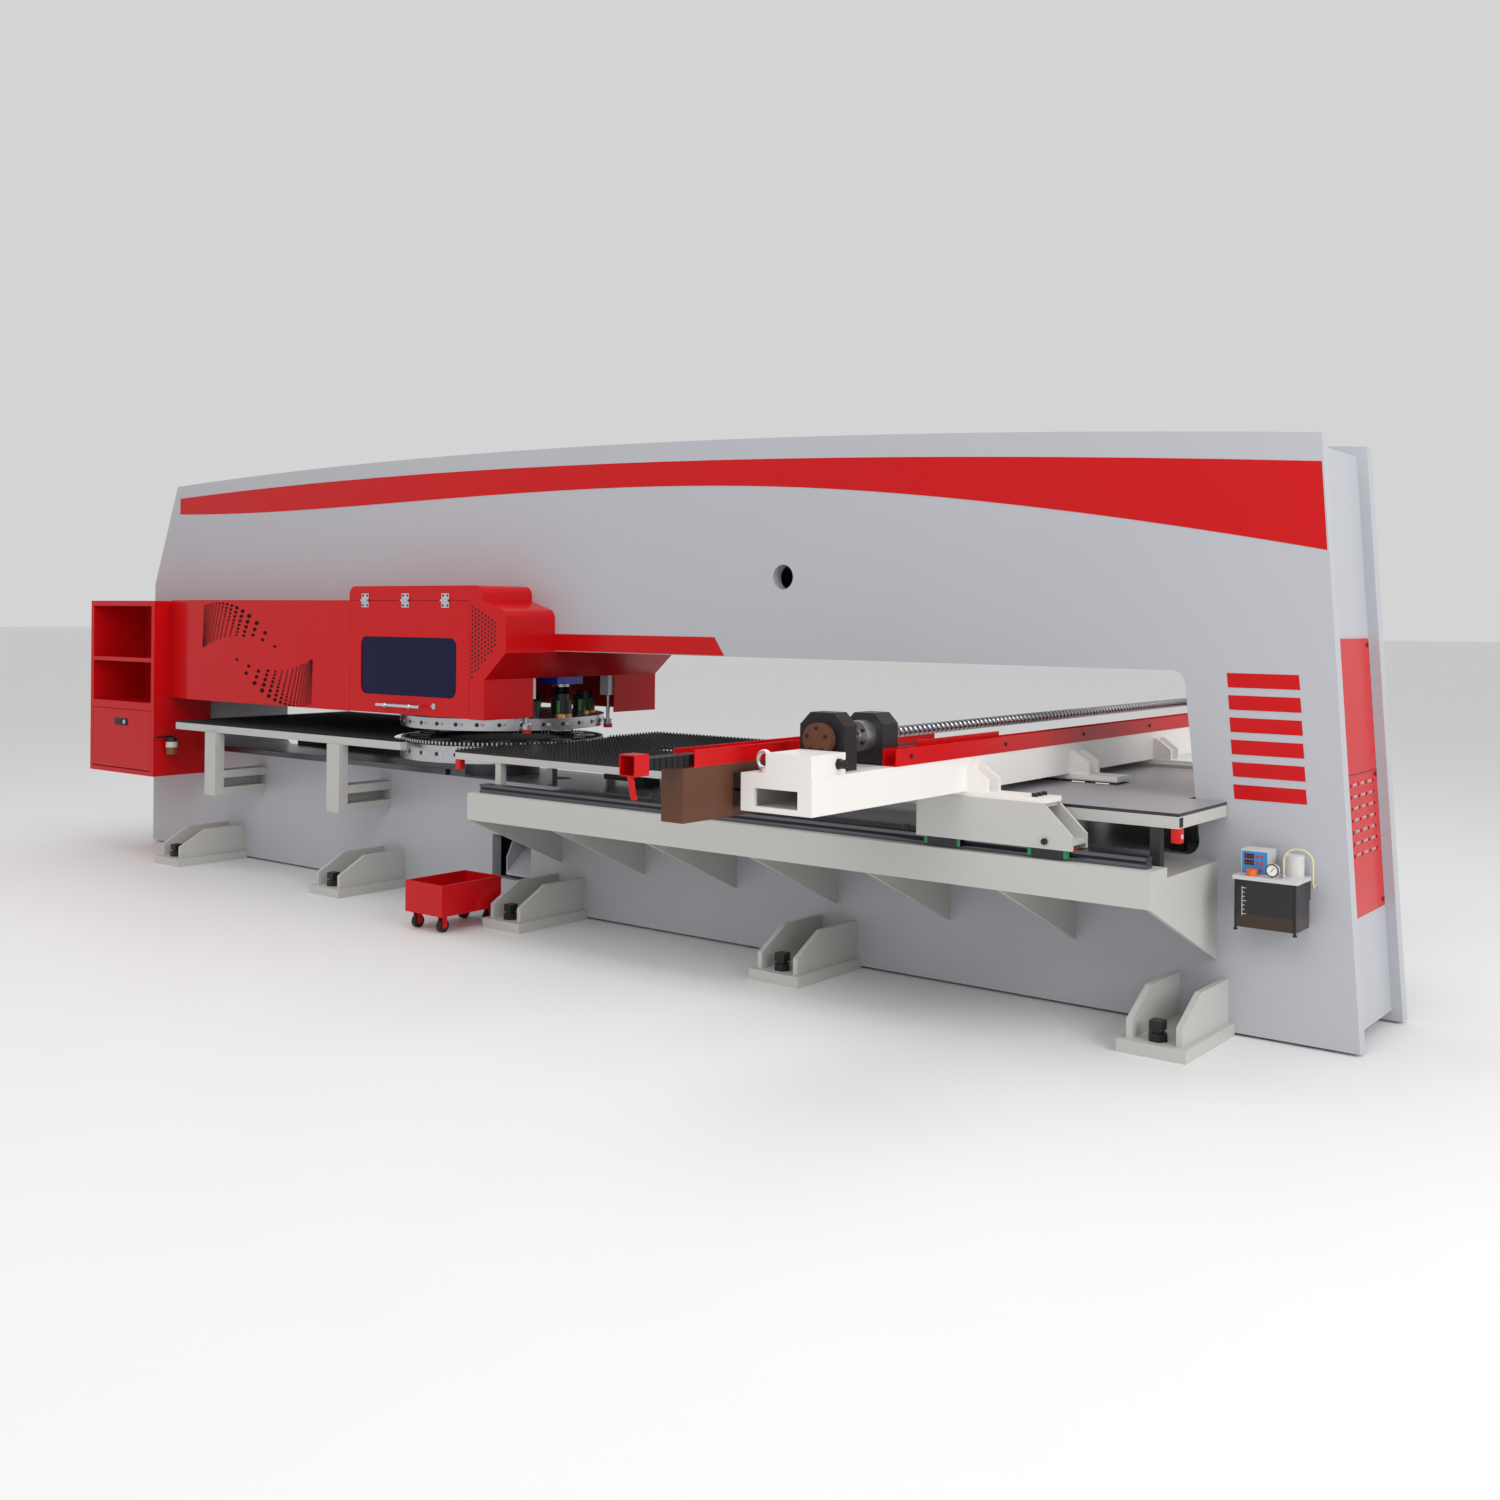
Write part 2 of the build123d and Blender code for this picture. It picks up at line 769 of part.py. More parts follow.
# Carriage plate with its lower lip and near-end flange
plate_right_d = beam_left_d + slider_depth
plate_left_d = plate_right_d + carriage_thickness
carriage_far = -carriage_near + carriage_length
carriage_line = [(at(plate_right_d), carriage_low), (at(plate_right_d), carriage_high),
                 (at(plate_left_d), carriage_high)]
carriage_line += [(at(plate_left_d), carriage_low + carriage_lip_height)]
carriage_line += [(at(plate_left_d + carriage_lip), carriage_low + carriage_lip_height)]
carriage_line += [(at(plate_left_d + carriage_lip), carriage_low)]
carriage = prism_xz(carriage_line, -carriage_near, carriage_far)
carriage += block(at(plate_left_d + carriage_flange), at(plate_right_d),
                  -carriage_near - carriage_lip_height,
                  -carriage_near, carriage_low, carriage_high)
save("carriage", carriage)

# Slider blocks between the carriage and the beam's rails
sliders = []
slider_pitch = (carriage_far - beam_rail_margin + beam_near - slider_length) / slider_count
for height in beam_rail_heights:
    groove_half = beam_rail_width / 2 + rail_gap
    groove_d = beam_left_d + beam_rail_depth + rail_gap
    slider_line = [(at(beam_left_d + slider_lift), height - slider_width / 2),
                   (at(plate_right_d), height - slider_width / 2)]
    slider_line += [(at(plate_right_d), height + slider_width / 2),
                    (at(beam_left_d + slider_lift), height + slider_width / 2)]
    slider_line += [(at(beam_left_d + slider_lift), height + groove_half),
                    (at(groove_d), height + groove_half)]
    slider_line += [(at(groove_d), height - groove_half), (at(beam_left_d + slider_lift),
                                                           height - groove_half)]
    for index in range(slider_count):
        slider_y = -beam_near + beam_rail_margin + index * slider_pitch
        sliders.append(prism_xz(slider_line, slider_y, slider_y + slider_length))
save("carriage_sliders", *sliders)

# Cable duct on the carriage: open-topped channel
duct_right = at(plate_right_d)
duct_left = at(plate_right_d + duct_width)
duct_top = carriage_high + duct_height
duct = block(duct_left, duct_right, -duct_near, carriage_far, carriage_high, duct_top)
duct -= block(duct_left + duct_skin, duct_right - duct_skin, -duct_near, carriage_far,
              carriage_high + duct_skin, duct_top)

# Cable chain that leaves the duct's near end, and the bracket on its end
chain_x = (duct_left + duct_right) / 2
chain_low = carriage_high + duct_skin
chain_pitch = chain_link + chain_link_gap
chain_start = -chain_near + chain_link_gap
chain_links = block(chain_x - chain_width / 4, chain_x + chain_width / 4, chain_start,
                    chain_start + chain_count * chain_pitch + chain_link, chain_low,
                    chain_low + chain_height / 2)
for index in range(chain_count):
    link_y = chain_start + index * chain_pitch
    chain_links += block(chain_x - chain_width / 2, chain_x + chain_width / 2, link_y, link_y + chain_link,
                         chain_low, chain_low + chain_height)
save("cable_chain", chain_links)
bracket_low_edge = chain_low - (bracket_height - chain_height) / 2
end_bracket = block(chain_x - bracket_width / 2, chain_x + bracket_width / 2, -machine_reach, chain_start,
                    bracket_low_edge, bracket_low_edge + bracket_height)
end_bracket -= block(chain_x - bracket_width / 2 + duct_skin, chain_x + bracket_width / 2 - duct_skin,
                     -machine_reach, chain_start - duct_skin,
                     bracket_low_edge + duct_skin, bracket_low_edge + bracket_height - duct_skin)
tap_line = [(-machine_reach, bracket_low_edge), (-machine_reach + tap_width, bracket_low_edge)]
tap_line += [(-machine_reach + tap_width + tap_lean, bracket_low_edge - tap_length)]
tap_line += [(-machine_reach + tap_lean, bracket_low_edge - tap_length)]
end_bracket += prism_yz(tap_line, chain_x, chain_x + tap_width)
save("cable_duct", duct, end_bracket)

# Work clamps: a body with a fixed lower jaw, and a pivoting upper jaw on a pin
clamp_bodies = []
clamp_pins = []
clamp_root_x = at(plate_left_d)
pin_x = clamp_root_x - jaw_pin_out
jaw_tip_x = clamp_root_x - clamp_reach
jaw_inside = clamp_width / 2 - jaw_cheek
upper_jaw_low = jaw_low + jaw_thickness + jaw_gap
for number, place in enumerate(clamp_reaches, start=1):
    body_line = [(clamp_root_x, carriage_low + carriage_lip_height), (clamp_root_x, clamp_body_high)]
    body_line += [(clamp_root_x - clamp_body_depth, clamp_body_high)]
    body_line += [(clamp_root_x - clamp_body_depth - jaw_root, carriage_low + carriage_lip_height)]
    clamp = prism_xz(body_line, -place - clamp_width / 2, -place + clamp_width / 2)
    clamp += block(jaw_tip_x, at(plate_left_d + carriage_lip), -place - clamp_width / 2,
                   -place + clamp_width / 2,
                   jaw_low, jaw_low + jaw_thickness)
    clamp += block(clamp_root_x - clamp_body_depth - jaw_root, at(plate_left_d + carriage_lip),
                   -place - clamp_width / 2, -place + clamp_width / 2, jaw_low,
                   carriage_low + carriage_lip_height)
    jaw_room = jaw_inside + jaw_side_gap
    room_line = [(jaw_tip_x, upper_jaw_low - jaw_gap), (pin_x + jaw_root + jaw_gap,
                                                        upper_jaw_low - jaw_gap)]
    room_line += [(pin_x + jaw_root + jaw_gap, clamp_body_high), (jaw_tip_x, clamp_body_high)]
    clamp -= prism_xz(room_line, -place - jaw_room, -place + jaw_room)
    clamp -= bar_y(pin_x, -place - clamp_width / 2, -place + clamp_width / 2, jaw_pin_height,
                   jaw_pin_radius)
    clamp_bodies.append(clamp)
    clamp_pins.append(bar_y(pin_x, -place - clamp_width / 2, -place + clamp_width / 2, jaw_pin_height,
                            jaw_pin_radius))
    jaw_line = [(jaw_tip_x, upper_jaw_low), (pin_x + jaw_root, upper_jaw_low)]
    jaw_line += [(pin_x + jaw_root, jaw_pin_height + jaw_root),
                 (pin_x - jaw_root, jaw_pin_height + jaw_root)]
    jaw_line += [(jaw_tip_x, upper_jaw_low + jaw_nose)]
    jaw = prism_xz(jaw_line, -place - jaw_inside, -place + jaw_inside)
    jaw -= bar_y(pin_x, -place - jaw_inside, -place + jaw_inside, jaw_pin_height,
                 jaw_pin_radius + running_gap)
    save(f"clamp_jaw_{number}", jaw)
save("clamp_bodies", *clamp_bodies, *clamp_pins)

# Ball screw bearings on the beam
screw_x = at(screw_d)
near_bearing = eight_sided(screw_x, screw_height, bearing_half_width, bearing_chamfer,
                           -near_bearing_front, -near_bearing_front + near_bearing_length)
near_bearing += block(screw_x - bearing_half_width, screw_x + bearing_half_width, -near_bearing_front,
                      -near_bearing_front + near_bearing_length, beam_high, screw_height - bearing_chamfer)
near_bearing -= bar_y(screw_x, -near_bearing_front, -near_bearing_front + near_bearing_length, screw_height,
                      journal_radius + running_gap)
far_bearing = eight_sided(screw_x, screw_height, bearing_half_width, bearing_chamfer,
                          far_bearing_front, far_bearing_front + far_bearing_length)
far_bearing += block(screw_x - bearing_half_width, screw_x + bearing_half_width, far_bearing_front,
                     far_bearing_front + far_bearing_length, beam_high, screw_height - bearing_chamfer)
far_bearing -= bar_y(screw_x, far_bearing_front, far_bearing_front + far_bearing_length, screw_height,
                     journal_radius + running_gap)
bearing_cap = bar_y(screw_x, -near_bearing_front - bearing_cap_length, -near_bearing_front, screw_height,
                    bearing_cap_radius)

# Ball screw with turned-down ends
screw_start = -near_bearing_front + free_gap
thread_start = -near_bearing_front + near_bearing_length + free_gap
thread_end = far_bearing_front - free_gap
screw_end = far_bearing_front + far_bearing_length + motor_mount_length / 2
ball_screw = bar_y(screw_x, thread_start, thread_end, screw_height, screw_radius)
ball_screw += bar_y(screw_x, screw_start, thread_start, screw_height, journal_radius)
ball_screw += bar_y(screw_x, thread_end, screw_end, screw_height, journal_radius)
save("ball_screw", ball_screw)

# Motor and its hollow mount beyond the beam's far end
mount_start = far_bearing_front + far_bearing_length
mount_end = mount_start + motor_mount_length
motor_mount = eight_sided(screw_x, screw_height, bearing_half_width, bearing_chamfer, mount_start,
                          mount_end)
motor_mount -= bar_y(screw_x, mount_start, mount_end, screw_height, bearing_cap_radius)
save("screw_bearings", near_bearing, far_bearing, bearing_cap, motor_mount)
motor = eight_sided(screw_x, screw_height, motor_half_width, motor_chamfer, mount_end,
                    machine_reach - motor_cap_length)
motor += bar_y(screw_x, machine_reach - motor_cap_length, machine_reach, screw_height, bearing_cap_radius)
save("screw_motor", motor)

# Ball nut, its housing and the arm that drives the carriage
nut_bore = screw_radius + running_gap
nut_back = -nut_front + nut_length
nut_housing = eight_sided(screw_x, screw_height, nut_half_width, nut_chamfer, -nut_front, nut_back)
nut_housing += block(screw_x - nut_half_width, screw_x + nut_half_width, -nut_front, nut_back,
                     carriage_high - nut_arm_thickness, screw_height - nut_chamfer)
nut_housing += block(at(plate_right_d), screw_x, -nut_front, nut_back, carriage_high - nut_arm_thickness,
                     carriage_high)
nut_housing -= bar_y(screw_x, -nut_front, nut_back, screw_height, nut_bore)
ball_nut = bar_y(screw_x, -nut_front - nut_flange_length, -nut_front, screw_height, nut_flange_radius)
ball_nut -= bar_y(screw_x, -nut_front - nut_flange_length, -nut_front, screw_height, nut_bore)
save("nut_housing", nut_housing, ball_nut)

# Tray along the beam's right-hand top edge
tray_right = at(beam_right_d - tray_stand)
tray_left = tray_right - tray_width
tray_high = beam_high + tray_height
tray = block(tray_left, tray_right, -tray_near, thread_end, beam_high, tray_high)
tray -= block(tray_left + duct_skin, tray_right - duct_skin, -tray_near, thread_end, beam_high + duct_skin,
              tray_high)
tray += block(tray_left, tray_left + duct_skin, -tray_stop_near, -tray_stop_near + tray_stop_length,
              tray_high, tray_high + tray_stop_height)
save("beam_tray", tray)

# Junction box and lifting eye on the beam's near end
junction_box = block(at(box_left_d), at(box_right_d), -box_near, -box_near + box_length, beam_high,
                     beam_high + box_height)
eye_height = beam_high + eye_collar_height + eye_ring_radius
eye = Pos(at(eye_d), -eye_near, eye_height) * Rot(90, 0, 0) * Torus(eye_ring_radius, eye_bar_radius)
eye += post(at(eye_d), -eye_near, beam_high, beam_high + eye_collar_height, eye_collar_radius)
save("beam_fittings", junction_box, eye)

# Feed screw along the throat floor, with its end blocks and motor
feed_blocks = []
for end_d in (feed_right_d + feed_block_length, feed_left_d):
    feed_block = block(at(end_d), at(end_d - feed_block_length), -feed_block_half_width,
                       feed_block_half_width,
                       throat_floor, feed_block_high)
    feed_block -= bar_x(at(end_d), at(end_d - feed_block_length), 0, feed_height,
                        journal_radius + running_gap)
    feed_blocks.append(feed_block)
feed_thread_left = at(feed_left_d - feed_block_length - free_gap)
feed_thread_right = at(feed_right_d + feed_block_length + free_gap)
feed_screw = bar_x(feed_thread_left, feed_thread_right, 0, feed_height, feed_radius)
feed_screw += bar_x(at(feed_left_d - free_gap), feed_thread_left, 0, feed_height, journal_radius)
feed_screw += bar_x(feed_thread_right, at(feed_right_d + free_gap), 0, feed_height, journal_radius)
save("feed_screw", feed_screw)
feed_motor = block(at(feed_left_d + feed_motor_length), at(feed_left_d), -feed_motor_half_width,
                   feed_motor_half_width,
                   feed_height - feed_motor_half_width, feed_height + feed_motor_half_width)
save("feed_drive", *feed_blocks, feed_motor)
feed_nut = block(at(feed_nut_right_d + feed_nut_length), at(feed_nut_right_d), -feed_nut_half_width,
                 feed_nut_half_width,
                 feed_nut_low, mid_seat_low)
feed_nut -= bar_x(at(feed_nut_right_d + feed_nut_length), at(feed_nut_right_d), 0, feed_height,
                  feed_radius + running_gap)
save("feed_nut", feed_nut)

# Left table: top with a round cut for the turret, and a tube frame under its edges
turret_x = at(turret_d)
turret_cut_radius = turret_radius + turret_clearance
turret_cut = post(turret_x, 0, table_frame_low, table_high, turret_cut_radius)
left_top = block(at(left_table_left_d), at(left_table_right_d), -left_table_reach, left_table_reach,
                 table_high - table_skin, table_high) - turret_cut
left_tube_reach = left_table_reach - frame_tube
left_frame = block(at(left_table_left_d), at(left_table_left_d - frame_tube), -left_table_reach,
                   left_table_reach,
                   table_frame_low, table_high - table_skin)
for side in (-1, 1):
    left_frame += block(at(left_table_left_d), at(left_table_right_d), side * left_table_reach,
                        side * left_tube_reach,
                        table_frame_low, table_high - table_skin)

# Brackets that carry the left table: a post, two bars and a bolting cheek each
table_brackets = []
post_face = -left_table_reach + frame_tube - bracket_post_depth
for bracket_d in bracket_ds:
    right_x = at(bracket_d)
    left_x = right_x - bracket_post_width
    bracket = block(left_x, right_x, post_face, post_face + bracket_post_depth, bracket_low,
                    table_frame_low)
    for low in (bracket_low, bracket_upper_bar):
        bracket += block(left_x, right_x, post_face, -frame_reach, low, low + bracket_bar)
    cheek_low = bracket_low + bracket_bar
    bracket += block(left_x, left_x + bracket_cheek, post_face, -frame_reach, cheek_low, bracket_upper_bar)
    table_brackets += [bracket, other_side(bracket)]

# Guide bars on the throat floor under the left table
guide_bars = []
for side in (-1, 1):
    outer = side * frame_reach
    guide_bars.append(block(at(guide_bar_left_d), at(guide_bar_right_d), outer,
                            outer - side * guide_bar_width,
                            throat_floor, throat_floor + guide_bar_height))
save("guide_rails", rail, other_side(rail), *guide_bars)

# Brush table round the turret's right-hand side, slotted for the feed nut
table_slot = block(at(table_slot_left_d), at(table_slot_right_d), -table_slot_half_width,
                   table_slot_half_width,
                   table_frame_low, table_high)
brush_top = block(at(brush_left_d), at(brush_right_d), -brush_reach, brush_reach, table_high - brush_depth,
                  table_high)
brush_top = brush_top - turret_cut - table_slot
save("brush_tables", left_top, brush_top)

# Plain rest table between the beam and the right-hand column, notched round the frame plates
notch_reach = frame_reach + rest_notch_gap
rest_line = [(at(brush_right_d), -brush_reach), (at(rest_right_d), -brush_reach),
             (at(rest_right_d), -notch_reach)]
rest_line += [(at(rest_notch_d), -notch_reach), (at(rest_notch_d), notch_reach),
              (at(rest_right_d), notch_reach)]
rest_line += [(at(rest_right_d), brush_reach), (at(brush_right_d), brush_reach)]
rest_top = prism_xy(rest_line, table_high - table_skin, table_high) - table_slot
save("rest_table", rest_top)

# Tube frame under the brush and rest tables, standing on posts
frame_high = table_high - brush_depth
rest_gap_high = table_high - table_skin
side_frames = []
for side in (-1, 1):
    outer = side * brush_reach
    inner = side * (brush_reach - frame_tube)
    side_frame = block(at(brush_left_d), at(brush_right_d), outer, inner, table_frame_low, frame_high)
    side_frame += block(at(brush_right_d), at(rest_right_d), outer, inner, table_frame_low, rest_gap_high)
    side_frame += block(at(rest_right_d + frame_tube), at(rest_right_d), outer, side * notch_reach,
                        table_frame_low, rest_gap_high)
    for post_d in side_post_ds:
        post_x = at(post_d)
        side_frame += block(post_x, post_x + post_side, inner, inner + side * post_side, ledge_high,
                            table_frame_low)
    side_frames.append(side_frame)

# Posts on the throat floor under the middle of the tables
floor_posts = []
post_tops = [(post_d, frame_high) for post_d in brush_post_ds] + [(rest_post_d, rest_gap_high)]
for post_d, top in post_tops:
    for side in (-1, 1):
        post_y = side * (plate_inner - frame_tube)
        floor_posts.append(block(at(post_d), at(post_d - post_side), post_y, post_y + side * post_side,
                                 throat_floor, top))
save("table_frames", left_frame, *table_brackets, *side_frames, *floor_posts)

# Upper turret with hub and shaft, and the bearing it hangs in
upper_turret = post(turret_x, 0, upper_low, upper_high, turret_radius)
upper_turret += post(turret_x, 0, upper_high, hub_high, hub_radius)
upper_turret += post(turret_x, 0, hub_high, throat_roof - free_gap, shaft_radius)
save("upper_turret", upper_turret)
upper_bearing = post(turret_x, 0, upper_bearing_low, throat_roof, bearing_radius)
upper_bearing -= post(turret_x, 0, upper_bearing_low, throat_roof, shaft_radius + running_gap)
lower_turret = post(turret_x, 0, lower_low, lower_high, turret_radius)
lower_turret += post(turret_x, 0, throat_floor + free_gap, lower_low, shaft_radius)
save("lower_turret", lower_turret)
lower_bearing = post(turret_x, 0, throat_floor, lower_bearing_high, bearing_radius)
lower_bearing -= post(turret_x, 0, throat_floor, lower_bearing_high, shaft_radius + running_gap)
save("turret_bearings", upper_bearing, lower_bearing)

# Punch holders stand on the upper turret and dies on the lower one, large and small in turn
punch_holders = []
tool_rings = []
dies = []
for index in range(tool_count * 2):
    angle = pi * index / tool_count
    x = turret_x + tool_circle * cos(angle)
    y = tool_circle * sin(angle)
    large = index % 2 == 0
    radius = tool_radius if large else small_tool_radius
    if large:
        tool_rings.append(post(x, y, upper_high, upper_high + ring_height, ring_radius))
        holder = post(x, y, upper_high + ring_height, tool_head_high, radius)
        holder += post(x, y, tool_head_high, tool_high, tool_neck_radius)
    else:
        holder = post(x, y, upper_high, small_tool_high, radius)
    punch_holders.append(holder)
    outer_die = die_radius if large else small_die_radius
    die = post(x, y, lower_high, lower_high + die_height, outer_die)
    die -= post(x, y, lower_high, lower_high + die_height, outer_die * die_hole_share)
    dies.append(die)
save("punch_holders", *punch_holders)
save("tool_rings", *tool_rings)
save("dies", *dies)

# Ram in its housing over the punching place
half = ram_housing_half_width
cut = half - ram_housing_chamfer
housing_line = [(-half, -cut), (-cut, -half), (cut, -half), (half, -cut), (half, cut), (cut, half),
                (-cut, half), (-half, cut)]
ram_housing = prism_xy([(punch_x + x, y) for x, y in housing_line], ram_housing_low, throat_roof)
ram_housing -= post(punch_x, 0, ram_housing_low, throat_roof, ram_radius + running_gap)
save("ram_housing", ram_housing)
save("ram", post(punch_x, 0, ram_low, ram_high, ram_radius))

# Hold-down cylinders at each side of the punching place, with rods, feet and pads
holder_x = at(holder_d)
holder_cylinders = []
holder_rods = []
holder_pads = []
for side in (-1, 1):
    y = side * holder_reach
    cylinder = block(holder_x - holder_side / 2, holder_x + holder_side / 2, y - holder_side / 2,
                     y + holder_side / 2,
                     holder_low, throat_roof)
    cylinder -= post(holder_x, y, holder_low, holder_rod_top + free_gap, holder_rod_radius + running_gap)
    holder_cylinders.append(cylinder)
    rod = post(holder_x, y, holder_foot_high, holder_rod_top, holder_rod_radius)
    rod += post(holder_x, y, holder_foot_low, holder_foot_high, holder_foot_radius)
    holder_rods.append(rod)
    holder_pads.append(post(holder_x, y, pad_low, holder_foot_low, pad_radius))
save("hold_down_cylinders", *holder_cylinders)
save("hold_down_rods", *holder_rods)
save("hold_down_pads", *holder_pads)

# Hood shells: one bent profile, open underneath and towards the frame
hood_line = [(at(hood_left_d), hood_low), (at(hood_left_d), hood_high), (at(hood_top_right_d), hood_high)]
hood_line += [(at(hood_top_right_d), hood_step_high), (at(hood_bulge_d), hood_bulge_high)]
hood_line += [(at(hood_bulge_d), hood_bulge_low), (at(hood_face_d), hood_face_high),
              (at(hood_face_d), hood_low)]
hood_profile = make_face(Polyline(*[(x, 0, z) for x, z in hood_line], close=True))
rounded = [v for v in hood_profile.vertices() if v.Z > hood_bulge_high - panel_skin and v.Z != hood_step_high]
hood_profile = fillet(rounded, hood_round)
hood_core = offset(hood_profile, -panel_skin)
hood_shell = slide_y(hood_profile, -hood_reach, -frame_reach)
hood_shell -= slide_y(hood_core, -hood_reach + panel_skin, -frame_reach)
hood_shell -= block(at(hood_left_d - panel_skin), at(hood_face_d + panel_skin), -hood_reach + panel_skin,
                    -frame_reach,
                    hood_low, hood_low + panel_skin * 2)
rear_hood = other_side(hood_shell)
front_hood = hood_shell - block(at(door_left_d + free_gap), at(door_right_d - free_gap), -hood_reach,
                                -hood_reach + panel_skin, hood_low, door_high + free_gap)

# Door with a rounded window, its pane, hinges, handle and lock
window_width = window_left_d - window_right_d
window_height = window_high - window_low
window_place = Pos(at((window_left_d + window_right_d) / 2), 0, (window_low + window_high) / 2) * Rot(90,
                                                                                                      0, 0)
window_face = window_place * RectangleRounded(window_width, window_height, window_round)
door_back = -hood_reach + door_thickness
door = block(at(door_left_d), at(door_right_d), -hood_reach, door_back, door_low, door_high)
door -= block(at(door_left_d - panel_skin), at(door_right_d + panel_skin), -hood_reach + panel_skin,
              door_back,
              door_low + panel_skin, door_high - panel_skin)
door -= slide_y(window_face, -hood_reach, door_back)
door -= bar_y(at(lock_d), -hood_reach, -hood_reach + panel_skin, lock_height,
              lock_shaft_radius + running_gap)
save("hood_door", door)
pane_face = window_place * RectangleRounded(window_width + pane_inset * 2, window_height + pane_inset * 2,
                                            window_round)
pane = slide_y(pane_face, -hood_reach + panel_skin, -hood_reach + panel_skin + pane_thickness)
save("door_pane", pane)
hinge_line_z = door_high + free_gap / 2
hinge_line_y = -hood_reach - knuckle_radius - hinge_side_gap
fixed_leaves = []
door_leaves = []
for hinge_d in hinge_ds:
    x0 = at(hinge_d) - hinge_width / 2
    x1 = at(hinge_d) + hinge_width / 2
    middle = hinge_width * hinge_knuckle_share / 2
    knuckle_cut = bar_x(x0, x1, hinge_line_y, hinge_line_z, knuckle_radius + hinge_side_gap)
    leaf = block(x0, x1, -hood_reach - hinge_thickness, -hood_reach, hinge_line_z,
                 hinge_line_z + hinge_leaf) - knuckle_cut
    for k0, k1 in ((x0, at(hinge_d) - middle - hinge_side_gap),
                   (at(hinge_d) + middle + hinge_side_gap, x1)):
        leaf += bar_x(k0, k1, hinge_line_y, hinge_line_z, knuckle_radius)
        leaf += block(k0, k1, hinge_line_y, -hood_reach, hinge_line_z,
                      hinge_line_z + knuckle_radius + hinge_side_gap)
    leaf += bar_x(x0, x1, hinge_line_y, hinge_line_z, hinge_pin_radius)
    fixed_leaves.append(leaf)
    flap = block(x0, x1, -hood_reach - hinge_thickness, -hood_reach, hinge_line_z - hinge_leaf,
                 hinge_line_z) - knuckle_cut
    k0 = at(hinge_d) - middle
    k1 = at(hinge_d) + middle
    flap += bar_x(k0, k1, hinge_line_y, hinge_line_z, knuckle_radius)
    flap += block(k0, k1, hinge_line_y, -hood_reach, hinge_line_z - knuckle_radius - hinge_side_gap,
                  hinge_line_z)
    flap -= bar_x(k0, k1, hinge_line_y, hinge_line_z, hinge_pin_radius + running_gap)
    door_leaves.append(flap)
save("hood_hinges", *fixed_leaves)
handle_y = -hood_reach - handle_stand
handle = bar_x(at(handle_left_d), at(handle_right_d), handle_y, handle_height, handle_radius)
for post_d in (handle_left_d - handle_post_inset, handle_right_d + handle_post_inset):
    handle += bar_y(at(post_d), handle_y, -hood_reach, handle_height, handle_post_radius)
save("door_fittings", handle, *door_leaves)
lock = bar_y(at(lock_d), -hood_reach - lock_length, -hood_reach - hinge_side_gap, lock_height, lock_radius)
lock += block(at(lock_d) - lock_radius, at(lock_d) + lock_radius, -hood_reach - lock_length - lock_grip,
              -hood_reach - lock_length, lock_height - lock_grip / 2, lock_height + lock_grip / 2)
lock += bar_y(at(lock_d), -hood_reach - hinge_side_gap, -hood_reach + panel_skin, lock_height,
              lock_shaft_radius)
save("door_lock", lock)

# Side panels: bent front sheet with a top return to the frame
panel_line = [(at(panel_left_d), -frame_reach), (at(panel_left_d), -panel_left_reach),
              (at(panel_bend_d), -hood_reach)]
panel_line += [(at(hood_left_d), -hood_reach), (at(hood_left_d), -frame_reach)]
panel_body = prism_xy(panel_line, hood_low, panel_high)
panel_bend_in = panel_left_reach - panel_skin
hollow_line = [(at(panel_left_d - panel_skin), -frame_reach), (at(panel_left_d - panel_skin),
                                                               -panel_bend_in)]
hollow_line += [(at(panel_bend_d), -hood_reach + panel_skin), (at(hood_left_d + panel_skin),
                                                               -hood_reach + panel_skin)]
hollow_line += [(at(hood_left_d + panel_skin), -frame_reach)]
side_panel = panel_body - prism_xy(hollow_line, hood_low, panel_high - panel_skin)


def vent_edge(ds, heights):
    """Curved edge of a vent fan, from its wide end to its tip."""
    return Bezier(*[(at(d), -hood_reach, z) for d, z in zip(ds, heights)])


# Two fans of graded round vent holes in the front panel, one turned half round from the other
vent_outer = vent_edge(vent_outer_ds, vent_outer_heights)
vent_inner = vent_edge(vent_inner_ds, vent_inner_heights)
vent_holes = []
for column in range(vent_columns):
    along = (2 * column + 1) / (2 * vent_columns)
    foot = vent_inner @ along
    rise = (vent_outer @ along) - foot
    for row in range(vent_rows):
        centre = foot + rise * ((2 * row + 1) / (2 * vent_rows))
        size_share = vent_small_share + (vent_large_share - vent_small_share) * row / (vent_rows - 1)
        radius = rise.length / vent_rows * size_share
        if radius < vent_least_radius:
            continue
        turned_x = 2 * at(vent_centre_d) - centre.X
        turned_z = 2 * vent_centre_height - centre.Z
        for x, z in ((centre.X, centre.Z), (turned_x, turned_z)):
            vent_holes.append(bar_y(x, -hood_reach, -hood_reach + panel_skin, z, radius))
save("side_panels", side_panel - vent_holes, other_side(side_panel))

# Sloping cover under the frame between the two hoods
cover_line = [(at(hood_bulge_d), throat_roof), (at(hood_bulge_d), hood_bulge_low),
              (at(hood_face_d), hood_face_high)]
cover_line += [(at(hood_face_d), hood_face_high + cover_skin * 2)]
cover_line += [(at(hood_bulge_d + cover_skin * 2), throat_roof)]
save("hoods", front_hood, rear_hood, prism_xz(cover_line, -frame_reach, frame_reach))

# Red strips along the throat roof, the band and the stripes on both side plates
strip_line = [(at(hood_bulge_d), strip_low), (at(strip_right_d), strip_low)]
strip_line += [(at(strip_right_d + strip_slant), strip_high), (at(hood_bulge_d), strip_high)]
strip = prism_xz(strip_line, -frame_reach - strip_thickness, -frame_reach)


